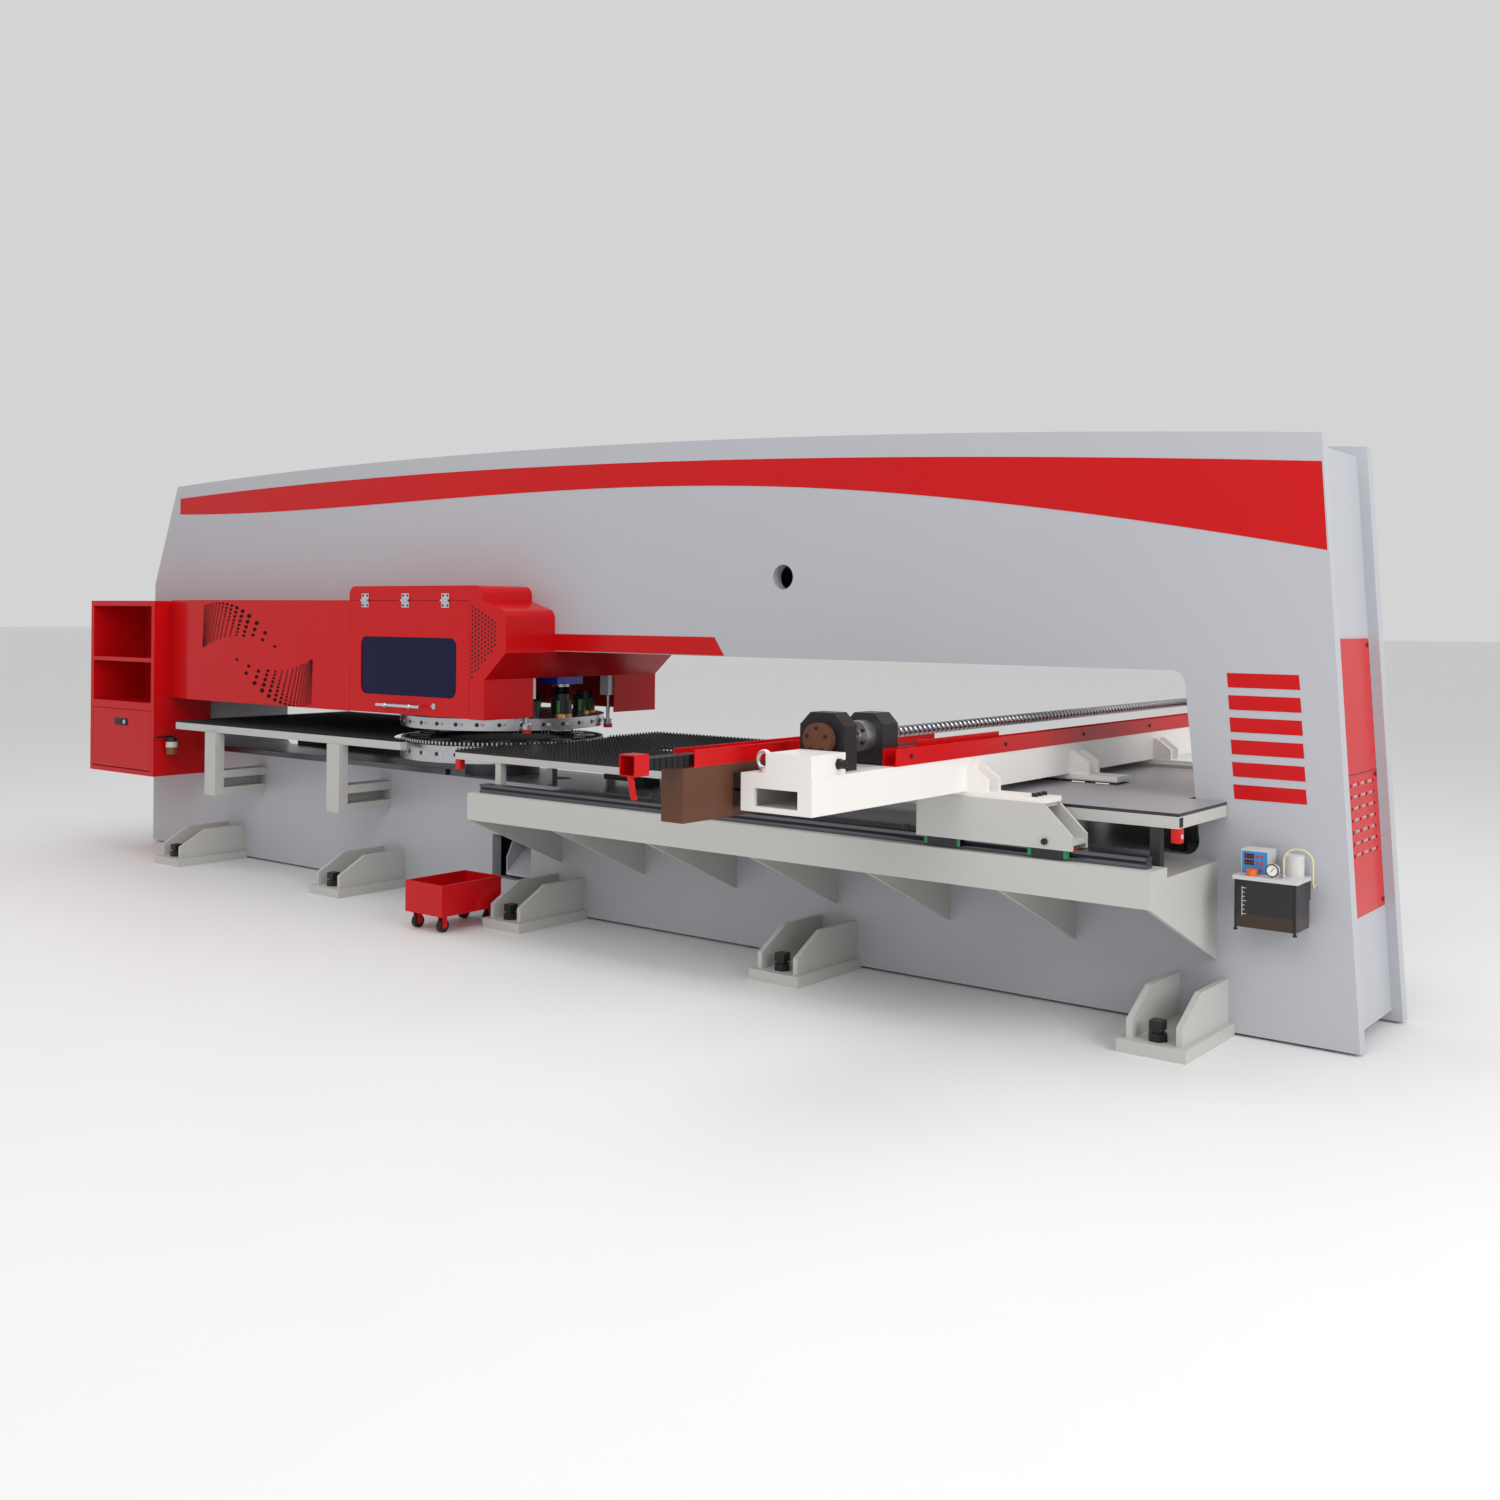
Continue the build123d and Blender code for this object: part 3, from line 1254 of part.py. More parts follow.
def right_edge_d(height):
    """Distance of the leaning right edge from the frame's right-hand foot at a height."""
    return right_lean * (height - frame_lift) / (right_height - frame_lift) + band_edge


band_top = ThreePointArc((at(right_edge_d(band_right_high)), 0, band_right_high),
                         (at(band_mid_d), 0, band_mid_high),
                         (at(band_left_d), 0, band_left_high))
band_points = [(at(band_left_d), 0, band_left_low), (at(band_turn_d), 0, band_turn_low)]
band_points += [(at(d), 0, low) for d, low in zip(band_fall_ds, band_fall_lows)]
band_points += [(at(right_edge_d(band_right_low)), 0, band_right_low)]
band_bottom = Spline(*band_points)
band_face = make_face([band_top, band_bottom, Line(band_top @ 1, band_bottom @ 0),
                       Line(band_bottom @ 1, band_top @ 0)])
band = slide_y(band_face, -frame_reach - trim_thickness, -frame_reach)
stripes = []
for index in range(stripe_count):
    top = stripe_top - index * stripe_pitch
    left = at(stripe_left_d) + (stripe_top - top) * right_lean / right_height
    stripe_line = [(left, top), (left + stripe_slant, top - stripe_height)]
    stripe_line += [(left + stripe_width + stripe_slant, top - stripe_height), (left + stripe_width, top)]
    stripe = prism_xz(stripe_line, -frame_reach - trim_thickness, -frame_reach)
    stripes += [stripe, other_side(stripe)]
save("red_trim", strip, other_side(strip), band, other_side(band), *stripes)

# Louvred cover on the leaning end web
lean = degrees(atan2(right_lean, right_height - frame_lift))
lean_length = hypot(right_lean, right_height - frame_lift)
cover_mid_height = (end_cover_low + end_cover_high) / 2
web_offset = web_recess * lean_length / (right_height - frame_lift)
cover_mid_d = right_lean * (cover_mid_height - frame_lift) / (right_height - frame_lift) + web_offset
cover_place = Pos(at(cover_mid_d), 0, cover_mid_height) * Rot(0, -lean, 0)
end_cover = Pos(panel_skin / 2, 0, 0) * Box(panel_skin, end_cover_width, end_cover_high - end_cover_low)
for row in range(louvre_rows):
    for column in range(louvre_columns):
        slot_y = (column - (louvre_columns - 1) / 2) * louvre_column_pitch
        slot_z = (row - (louvre_rows - 1) / 2) * louvre_row_pitch + louvre_middle - cover_mid_height
        slot = Pos(0, slot_y, slot_z) * Rot(0, 90, 0) * Rot(0, 0, 90) * SlotOverall(louvre_length,
                                                                                    louvre_height)
        end_cover -= extrude(slot, amount=panel_skin)
save("end_cover", cover_place * end_cover)

# Cabinet: two open shelves over a closed bin
cabinet_left = at(machine_length)
cabinet_right = at(cabinet_right_d)
inside_left = cabinet_left + cabinet_wall
inside_right = cabinet_right - cabinet_wall
inside_back = -frame_reach - cabinet_wall
cabinet = block(cabinet_left, cabinet_right, -cabinet_reach, -frame_reach, cabinet_low, cabinet_high)
for low, high in ((cabinet_shelf_high, cabinet_high - cabinet_wall),
                  (cabinet_floor_high, cabinet_shelf_low),
                  (flap_low - flap_gap, flap_high + flap_gap)):
    cabinet -= block(inside_left, inside_right, -cabinet_reach, inside_back, low, high)
flap_axis_z = flap_low + flap_thickness / 2
flap_axis_y = -cabinet_reach + flap_thickness / 2
cabinet -= bar_x(inside_left - flap_pin_length, inside_right + flap_pin_length, flap_axis_y, flap_axis_z,
                 flap_pin_radius + running_gap)
save("cabinet", cabinet)
flap_door = block(inside_left + flap_gap, inside_right - flap_gap, -cabinet_reach,
                  -cabinet_reach + flap_thickness,
                  flap_axis_z, flap_high)
flap_door += bar_x(inside_left + flap_gap, inside_right - flap_gap, flap_axis_y, flap_axis_z,
                   flap_thickness / 2)
flap_door += bar_x(inside_left - flap_pin_length + flap_gap, inside_right + flap_pin_length - flap_gap,
                   flap_axis_y,
                   flap_axis_z, flap_pin_radius)
flap_door -= block(inside_left + flap_gap + flap_skin, inside_right - flap_gap - flap_skin,
                   -cabinet_reach + latch_depth + flap_skin, -cabinet_reach + flap_thickness,
                   flap_axis_z + flap_thickness, flap_high - flap_skin)
latch_x = (cabinet_left + cabinet_right) / 2
latch_box = block(latch_x - latch_width / 2, latch_x + latch_width / 2, -cabinet_reach,
                  -cabinet_reach + latch_depth,
                  latch_centre - latch_height / 2, latch_centre + latch_height / 2)
flap_door -= latch_box
latch = latch_box - block(latch_x - latch_width / 2 + latch_depth, latch_x, -cabinet_reach,
                          -cabinet_reach + latch_depth / 2, latch_centre - latch_height / 2 + latch_depth,
                          latch_centre + latch_height / 2 - latch_depth)
save("cabinet_flap", flap_door, latch)

# Air filter on the cabinet's side, with its shut-off lever
filter_x = cabinet_right + filter_out
filter_bowl = post(filter_x, -filter_reach, filter_low, filter_bowl_high, filter_radius)
filter_head = post(filter_x, -filter_reach, filter_bowl_high, filter_head_high, filter_radius)
filter_head += block(cabinet_right, filter_x, -filter_reach - filter_arm, -filter_reach + filter_arm,
                     filter_bowl_high, filter_head_high)
lever_hole = post(filter_x, -filter_reach, filter_bowl_high + lever_thickness / 2, filter_head_high,
                  lever_pin_radius + running_gap)
save("air_filter", filter_bowl, filter_head - lever_hole)
lever_low = filter_head_high + free_gap / 2
lever = block(filter_x - lever_width / 2, filter_x + lever_width / 2, -filter_reach - lever_length,
              -filter_reach,
              lever_low, lever_low + lever_thickness)
lever += post(filter_x, -filter_reach, lever_low, lever_low + lever_thickness, lever_width / 2)
lever += post(filter_x, -filter_reach, filter_bowl_high + lever_thickness, lever_low, lever_pin_radius)
save("filter_lever", lever)

# Lubricator: tank, lid with motor and gauge, controller, cap and hose
lube_back = -frame_reach - lube_back_gap
lube_front = lube_back - lube_depth
tank = block(at(lube_left_d), at(lube_right_d), lube_front, lube_back, lube_low, lube_tank_high)
tank += block(at(lube_left_d), at(lube_right_d), lube_back, -frame_reach, lube_tank_high - lube_depth / 2,
              lube_tank_high)
save("lube_tank", tank)
lid = block(at(lube_left_d + lube_lid_edge), at(lube_right_d - lube_lid_edge), lube_front - lube_lid_edge,
            lube_back,
            lube_tank_high, lube_lid_high)
motor_x = at(lube_right_d + lube_motor_radius + lube_lid_edge)
motor_y = lube_back - lube_motor_radius - lube_lid_edge
lid += post(motor_x, motor_y, lube_lid_high, lube_lid_high + lube_motor_height, lube_motor_radius)
control_left = at(lube_left_d - lube_lid_edge)
control_front = lube_front + lube_control_back
controller = block(control_left, control_left + lube_control_width, control_front,
                   control_front + lube_control_depth,
                   lube_lid_high, lube_lid_high + lube_control_height)
gauge_x = control_left + lube_control_width + lube_gauge_radius + lube_lid_edge
gauge_z = lube_lid_high + lube_gauge_radius + lube_lid_edge
gauge = bar_y(gauge_x, lube_front + lube_lid_edge, lube_front + lube_lid_edge + lube_gauge_thickness,
              gauge_z, lube_gauge_radius)
gauge += post(gauge_x, lube_front + lube_lid_edge + lube_gauge_thickness / 2, lube_lid_high, gauge_z,
              lube_lid_edge)
save("lube_lid", lid, controller, gauge)
cap_x = control_left + lube_control_width / 2
cap_y = lube_front + lube_cap_radius
cap = post(cap_x, cap_y, lube_lid_high + running_gap, lube_lid_high + lube_cap_height, lube_cap_radius)
save("lube_cap", cap)
hose_x = gauge_x + lube_gauge_radius + hose_gap
hose_y = lube_front + lube_hose_inset
hose_high = lube_lid_high + lube_hose_rise
hose_points = [(hose_x, hose_y, lube_lid_high), (hose_x, hose_y, hose_high)]
hose_points += [(hose_x + lube_hose_out, hose_y, hose_high)]
hose_points += [(hose_x + lube_hose_out, hose_y, hose_high - lube_hose_drop)]
hose_points += [(hose_x + lube_hose_out - lube_hose_back, -frame_reach, hose_high - lube_hose_drop)]
hose_bend = min(lube_hose_rise, lube_hose_out, lube_hose_drop) * hose_bend_share
hose_path = FilletPolyline(*hose_points, radius=hose_bend)
print("lubricator hose bend radius", hose_bend, "length", hose_path.length)
hose_profile = Plane(origin=hose_points[0], z_dir=(0, 0, 1)) * Circle(lube_hose_radius)
save("lube_hose", sweep(hose_profile, path=hose_path))

# Slug cart: open box on four castors
cart_right = at(cart_right_d)
cart_left = at(cart_left_d)
cart = block(cart_left, cart_right, -cart_near, -cart_far, cart_low, cart_high)
cart -= block(cart_left + cart_skin, cart_right - cart_skin, -cart_near + cart_skin, -cart_far - cart_skin,
              cart_low + cart_skin, cart_high)
forks = []
near_wheels = []
far_wheels = []
for wheel_x in (cart_left + wheel_inset, cart_right - wheel_inset):
    for wheel_y, wheels in ((-cart_near + wheel_inset, near_wheels), (-cart_far - wheel_inset, far_wheels)):
        half_gap = wheel_width / 2 + fork_gap
        fork = block(wheel_x - half_gap - fork_thickness, wheel_x + half_gap + fork_thickness,
                     wheel_y - fork_width / 2,
                     wheel_y + fork_width / 2, cart_low - fork_plate_height, cart_low)
        for side in (-1, 1):
            fork += block(wheel_x + side * half_gap, wheel_x + side * (half_gap + fork_thickness),
                          wheel_y - fork_width / 2, wheel_y + fork_width / 2,
                          wheel_radius - axle_radius * 2, cart_low)
        fork += bar_x(wheel_x - half_gap - fork_thickness, wheel_x + half_gap + fork_thickness, wheel_y,
                      wheel_radius, axle_radius)
        forks.append(fork)
        wheel = bar_x(wheel_x - wheel_width / 2, wheel_x + wheel_width / 2, wheel_y, wheel_radius,
                      wheel_radius)
        wheel -= bar_x(wheel_x - wheel_width / 2, wheel_x + wheel_width / 2, wheel_y, wheel_radius,
                       axle_radius + running_gap)
        wheels.append(wheel)
save("slug_cart", cart, *forks)
save("cart_wheels_near", *near_wheels)
save("cart_wheels_far", *far_wheels)
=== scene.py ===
import json
import math

import bmesh
import bpy
from mathutils import Matrix, Vector
from mathutils.bvhtree import BVHTree


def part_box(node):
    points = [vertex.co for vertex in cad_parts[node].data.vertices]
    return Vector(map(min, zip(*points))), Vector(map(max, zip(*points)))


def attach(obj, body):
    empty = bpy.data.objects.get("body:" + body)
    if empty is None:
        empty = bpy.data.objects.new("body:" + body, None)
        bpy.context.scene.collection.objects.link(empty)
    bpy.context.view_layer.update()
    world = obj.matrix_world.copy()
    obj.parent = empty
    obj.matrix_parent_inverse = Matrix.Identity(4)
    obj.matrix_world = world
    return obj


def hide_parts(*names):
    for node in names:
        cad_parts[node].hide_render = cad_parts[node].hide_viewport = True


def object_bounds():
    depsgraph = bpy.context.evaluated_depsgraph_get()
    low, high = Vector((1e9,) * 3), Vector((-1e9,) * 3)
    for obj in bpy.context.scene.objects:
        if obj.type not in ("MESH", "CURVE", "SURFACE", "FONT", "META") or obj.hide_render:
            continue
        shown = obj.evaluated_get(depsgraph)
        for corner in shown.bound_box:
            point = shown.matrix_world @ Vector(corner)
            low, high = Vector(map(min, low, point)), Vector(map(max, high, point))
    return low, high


bl_info = {
    "name": "Turret punch press",
    "version": (1, 0, 0),
    "blender": (4, 5, 0),
    "location": "3D View > Sidebar > Press",
    "description": "Finishes and small fittings for a closed-frame turret punch press",
    "category": "Object",
}

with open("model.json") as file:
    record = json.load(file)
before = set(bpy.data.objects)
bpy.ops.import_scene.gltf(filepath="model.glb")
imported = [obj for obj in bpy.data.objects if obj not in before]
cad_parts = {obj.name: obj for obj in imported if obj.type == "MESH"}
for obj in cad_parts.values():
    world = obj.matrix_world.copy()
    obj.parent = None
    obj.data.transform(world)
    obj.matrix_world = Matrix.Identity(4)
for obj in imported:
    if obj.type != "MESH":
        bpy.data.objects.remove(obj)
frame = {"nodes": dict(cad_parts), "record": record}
CAD_LOW, CAD_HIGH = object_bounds()
SLOTS = {part["node"]: part["material_slot"] for part in frame["record"]["subparts"]}
WELD_DISTANCE = 1e-5
CUT_DISTANCE = 1e-6
SHARP_ANGLE = math.radians(35)
UP, DOWN = (0, 0, 1), (0, 0, -1)
LEFT, RIGHT, FRONT = (-1, 0, 0), (1, 0, 0), (0, -1, 0)


# Kinds of setting

def linear(red, green, blue):
    """Screen colour from 0 to 255 as the linear values that shaders use."""
    def one(value):
        value /= 255
        return value / 12.92 if value <= 0.04045 else ((value + 0.055) / 1.055) ** 2.4
    return one(red), one(green), one(blue)


def colour(name, description, *screen):
    """Colour setting with a screen colour as its default."""
    return bpy.props.FloatVectorProperty(
        name=name, description=description, subtype="COLOR", size=3, min=0.0, max=1.0,
        default=linear(*screen))


def length(name, description, default):
    """Length setting in metres, never below zero."""
    return bpy.props.FloatProperty(
        name=name, description=description, default=default, min=0.0, unit="LENGTH")


def coordinate(name, description, default):
    """Place along an axis in metres, on either side of zero."""
    return bpy.props.FloatProperty(name=name, description=description, default=default, unit="LENGTH")


def ratio(name, description, default, least=0.0):
    """Share of another size."""
    return bpy.props.FloatProperty(name=name, description=description, default=default, min=least)


def amount(name, description, default, least=1):
    """Whole number of like things."""
    return bpy.props.IntProperty(name=name, description=description, default=default, min=least)


def turning(name, description, degrees):
    """Angle, given in degrees."""
    return bpy.props.FloatProperty(
        name=name, description=description, default=math.radians(degrees), unit="ROTATION")


def wattage(name, description, default):
    """Power of a light."""
    return bpy.props.FloatProperty(
        name=name, description=description, default=default, min=0.0, unit="POWER")


def lengths(name, description, *values):
    """Row of lengths or coordinates in metres."""
    return bpy.props.FloatVectorProperty(
        name=name, description=description, size=len(values), default=values, unit="LENGTH")


def ratios(name, description, *values):
    """Row of shares of another size."""
    return bpy.props.FloatVectorProperty(
        name=name, description=description, size=len(values), default=values)


class PressColours(bpy.types.PropertyGroup):
    """Paints, metals and plastics of the press."""
    frame_paint: colour("Frame", "Paint of the closed frame", 184, 186, 192)
    base_paint: colour("Base", "Paint of feet, shelves and table frames", 192, 191, 187)
    white_paint: colour("Beam", "Paint of the cross beam and saddles", 238, 235, 231)
    red_paint: colour("Covers", "Paint of hoods, panels and trim", 200, 12, 18)
    brown_paint: colour("Carriage", "Paint of the clamp carriage", 98, 62, 45)
    blue_paint: colour("Ram housing", "Paint of the ram housing", 22, 52, 176)
    table_grey: colour("Rest table", "Paint of the plain rest table", 150, 150, 154)
    table_edge: colour("Table edge", "Dark edge of the rest table", 44, 44, 47)
    post_dark: colour("Posts", "Dark posts of the table frame", 40, 41, 44)
    tool_band: colour("Tool strips", "Upright strips on each punch holder", 62, 150, 66)
    seal_green: colour("Rail seals", "End seals of the guide blocks", 40, 140, 84)
    dark_steel: colour("Dark steel", "Dark ground steel", 104, 106, 112)
    bright_steel: colour("Bright steel", "Bright ground steel", 196, 198, 202)
    polished_steel: colour("Polished steel", "Polished rods, handles and locks", 214, 216, 220)
    black_steel: colour("Blackened steel", "Blackened screws, bearings and rims", 30, 30, 33)
    screw_steel: colour("Screw steel", "Threads of both lead screws", 190, 192, 196)
    flange_steel: colour("Nut flange", "Bare flange of the ball nut", 200, 202, 206)
    eye_steel: colour("Lifting eye", "Bare metal of the lifting eye", 222, 223, 226)
    block_steel: colour("Guide blocks", "Dark metal of the guide blocks", 66, 68, 72)
    cast_iron: colour("Cast iron", "Bare castings", 92, 94, 98)
    tool_black: colour("Tool steel", "Black punch holders and sockets", 32, 34, 33)
    brass: colour("Brass", "Turned brass", 196, 152, 96)
    aluminium: colour("Aluminium", "Pale anodised aluminium", 216, 218, 222)
    pane: colour("Pane", "Tint of the door's pane", 12, 16, 66)
    filter_plastic: colour("Filter bowl", "Plastic of the filter's bowl", 206, 196, 182)
    filter_catch: colour("Filter catch", "What the filter's bowl has caught", 120, 74, 44)
    tank_plastic: colour("Tank slot", "Smoked plastic of the tank's slot", 40, 40, 43)
    oil_tank: colour("Tank", "Smoked plastic above the oil", 34, 33, 34)
    oil: colour("Oil", "Oil seen through the tank", 58, 42, 29)
    lid_plastic: colour("Pale plastic", "Pale moulded plastic", 204, 204, 204)
    hose_plastic: colour("Hose", "Pale hose plastic", 222, 208, 150)
    orange_plastic: colour("Oil cap", "Orange plastic of the oil cap", 232, 108, 28)
    red_plastic: colour("Pads", "Red plastic of pads and stops", 206, 30, 26)
    black_plastic: colour("Black plastic", "Black moulded plastic", 24, 24, 26)
    rubber: colour("Rubber", "Hard rubber", 30, 30, 30)
    # Painted shade: the dark tone of the brush field between its tufts.
    brush_gap_shade: colour("Brush gaps", "Brush field between its tufts", 9, 9, 10)
    brush_light: colour("Brush field", "Brush field on its tufts", 30, 31, 32)
    # Nylon of the tufts, partly painted light: lighter than the board's black nylon.
    tuft_nylon_and_painted_light: colour("Tufts", "Nylon of the standing tufts", 58, 63, 65)
    vent_shadow: colour("Vent dots", "Shadow in the vent dots", 38, 14, 14)
    control_face: colour("Control face", "Face of the lubricator's controller", 58, 140, 204)
    display_window: colour("Display windows", "Dark windows of the controller", 48, 10, 12)
    display_red: colour("Displays", "Lit segments and keys on the controller", 214, 30, 26)
    floor: colour("Floor", "Studio floor", 236, 236, 236)


class PressBands(bpy.types.PropertyGroup):
    """Places where a finish changes colour."""
    overrun: length("Overrun", "How far a band runs past its piece's face", 0.001)
    bearing_flange: length("Bearing flange", "Depth of the screw bearing's brown flange", 0.0318)
    nut_flange: length("Nut flange", "Depth of the ball nut's bare flange", 0.0598)
    eye_width: length("Lifting eye", "Width of the bare lifting eye", 0.0405)
    table_skin: length("Table skin", "Depth of the rest table's painted top", 0.0006)
    post_reach: length("Post reach", "Stretch of the table frames with dark posts", 0.30)
    post_top: length("Post top", "Height of the dark posts' upper ends", 0.7848)
    saddle_seam: length("Saddle seam", "Height below which a saddle has the base's paint", 0.8502)
    oil_level: length("Oil level", "Depth of the oil in the lubricator's tank", 0.046)
    catch_share: ratio("Filter catch", "Share of the filter's height that shows its catch", 0.42)
    head_low: length("Filter head foot", "Lower edge of the filter's black head", 0.700)
    head_high: length("Filter head top", "Upper edge of the filter's black head", 0.726)
    thread_lead: length("Thread lead", "Travel of a nut for one turn of its screw", 0.032)
    block_length: length("Guide block", "Length of a guide block with its seals", 0.150)
    block_pitch: length("Guide block pitch", "Spacing of the guide blocks under a saddle", 0.420)
    seal_length: length("Seal", "Length of a guide block's end seal", 0.013)


class PressTurrets(bpy.types.PropertyGroup):
    """Sizes of the turrets' small fittings."""
    socket_radius: length("Socket radius", "Radius of the sockets round the turret rims", 0.011)
    socket_depth: length("Socket depth", "How far the socket discs stand from the rims", 0.0015)
    socket_count: amount("Sockets", "Sockets round each turret rim", 30, least=4)
    socket_phase_share: ratio("Socket phase", "Share of a step that the first socket is turned", 0.25)
    tag_offset_share: ratio("Tag offset", "Tag's distance from its socket, in socket radii", 2.6)
    tag_width_share: ratio("Tag width", "Width of a tag, in socket radii", 1.6)
    tag_height_share: ratio("Tag height", "Height of a tag, in socket radii", 1.1)
    upper_disc: length("Upper disc", "Thickness of the upper turret disc", 0.060)
    lower_disc: length("Lower disc", "Thickness of the lower turret disc", 0.087)
    tool_count: amount("Tools", "Punch holders on the turret", 16, least=2)
    tool_circle: length("Tool circle", "Radius of the circle of punch holders", 0.440)
    tool_radius: length("Large holder", "Radius of a large punch holder", 0.055)
    small_tool_radius: length("Small holder", "Radius of a small punch holder", 0.030)
    die_radius: length("Large die", "Radius of a large die", 0.058)
    small_die_radius: length("Small die", "Radius of a small die", 0.034)
    strip_count: amount("Strips", "Strips on each punch holder", 3)
    strip_width: length("Strip width", "Width of a punch holder's strip", 0.014)
    strip_height: length("Strip height", "Height of a punch holder's strip", 0.060)
    strip_depth: length("Strip depth", "Thickness of a punch holder's strip", 0.002)
    strip_lift: length("Strip lift", "Height of the strips above the tool rings", 0.008)


class PressBrushes(bpy.types.PropertyGroup):
    """Sizes of the brush tables and of the brush on the lower turret."""
    tuft_pitch: length("Tuft pitch", "Spacing of the brush tufts along a row", 0.024)
    row_pitch: length("Row pitch", "Spacing of the rows of tufts", 0.024)
    tuft_height: length("Tuft height", "How far the tufts stand out of their boards", 0.009)
    tuft_foot: length("Tuft foot", "Radius of a tuft where it leaves the board", 0.0034)
    tuft_head: length("Tuft head", "Radius of a tuft at its tip", 0.0046)
    tuft_margin_share: ratio("Tuft margin", "Room a tuft needs on the table, in tip radii", 1.2)
    die_margin_share: ratio("Die margin", "Room between tuft and die, in tip radii", 1.5)
    probe_height: length("Probe height", "Height above the table from which it is felt for", 0.1)
    probe_slack: length("Probe slack", "How far below the top still counts as the top", 0.001)
    split_offset: length("Brush split", "Distance of the tables' split from the turret", 0.2)
    tip_radius: length("Brush tip", "Radius of the pale brush tips", 0.0045)
    rim_brush: length("Rim brush", "Radius of the pale ring on the lower turret", 0.537)
    turret_rings: amount("Turret brush rings", "Rings of tufts on the lower turret", 9)
    board_skin: length("Brush board", "Thickness of the turret's brush board", 0.004)
    board_radius: length("Brush board edge", "Radius of the turret's brush board", 0.546)


class PressPanels(bpy.types.PropertyGroup):
    """Sizes of the trim, the vent fans and the flap's latch."""
    stripe_count: amount("Stripes", "Stripes on one side of the right column", 6)
    stripe_low: length("Lowest stripe", "Height of the lowest stripe's lower edge", 0.850)
    stripe_pitch: length("Stripe pitch", "Spacing of the stripes", 0.080)
    stripe_left: length("Stripe side", "Place along the frame that all stripes lie beyond", 3.300)
    stripe_ease: length("Stripe ease", "How far a stripe's lower edge moves back", 0.007)
    stripe_slack: length("Stripe slack", "How closely a stripe's edge has to be met", 0.0005)
    outer_start: lengths("Outer start", "Crowded end of a fan's outer edge", -2.640, 1.520)
    outer_bend: lengths("Outer bend", "Control point of a fan's outer edge", -2.287, 1.601)
    outer_tip: lengths("Outer tip", "Tip of a fan's outer edge", -1.945, 1.297)
    inner_start: lengths("Inner start", "Crowded end of a fan's inner edge", -2.650, 1.280)
    inner_bend: lengths("Inner bend", "Control point of a fan's inner edge", -2.257, 1.418)
    inner_tip: lengths("Inner tip", "Tip of a fan's inner edge", -1.955, 1.287)
    fan_middle: lengths("Fan middle", "Point about which the second fan is turned", -2.126, 1.256)
    hole_left: coordinate("Holes from", "Left end of the packed vent holes", -2.700)
    hole_right: coordinate("Holes to", "Right end of the packed vent holes", -1.550)
    hole_low: length("Hole foot", "Lower end of the packed vent holes", 0.9695)
    hole_high: length("Hole head", "Upper end of the packed vent holes", 1.545)
    wall_before: length("Wall before", "Slack in front of a packed hole's wall", 0.001)
    wall_behind: length("Wall behind", "How deep a packed hole's wall may lie", 0.007)
    wall_slope: ratio("Wall slope", "Largest share of a wall's normal along the depth", 0.5)
    fan_columns: amount("Fan columns", "Columns of dots in a fan", 17, least=2)
    fan_growth: ratio("Fan growth", "How each column's spacing grows on the last", 1.13, least=1.01)
    fan_lean: ratio("Fan lean", "How far the columns lean back at their inner ends", 1.35)
    row_share: ratio("Row share", "Row spacing as a share of the column spacing", 0.42)
    row_fade: ratio("Row fade", "How each row's spacing shrinks on the last", 0.9)
    row_least: length("Least row", "Smallest row spacing of the dots", 0.0115)
    dot_share: ratio("Dot share", "Half height of a dot as a share of the row spacing", 0.38)
    dot_stretch: ratio("Dot stretch", "Width of a dot as a share of its height", 1.7)
    gap_parts: ratio("Gap parts", "Column spacing over a dot's largest half width", 3.0, least=1.0)
    full_share: ratio("Full share", "Share of a fan after which its dots shrink", 0.62)
    tip_fade: ratio("Tip fade", "How fast the dots shrink towards a fan's tip", 1.5)
    dot_skin: length("Dot skin", "Thickness of a dot", 0.0006)
    latch_width: length("Latch width", "Width of the flap's latch", 0.150)
    latch_height: length("Latch height", "Height of the flap's latch", 0.042)
    latch_depth: length("Latch depth", "Depth of the flap's latch recess", 0.0055)
    latch_proud: length("Latch rise", "How far the latch stands out of the flap's face", 0.003)
    latch_middle: length("Latch middle", "Height of the latch's middle", 0.806)


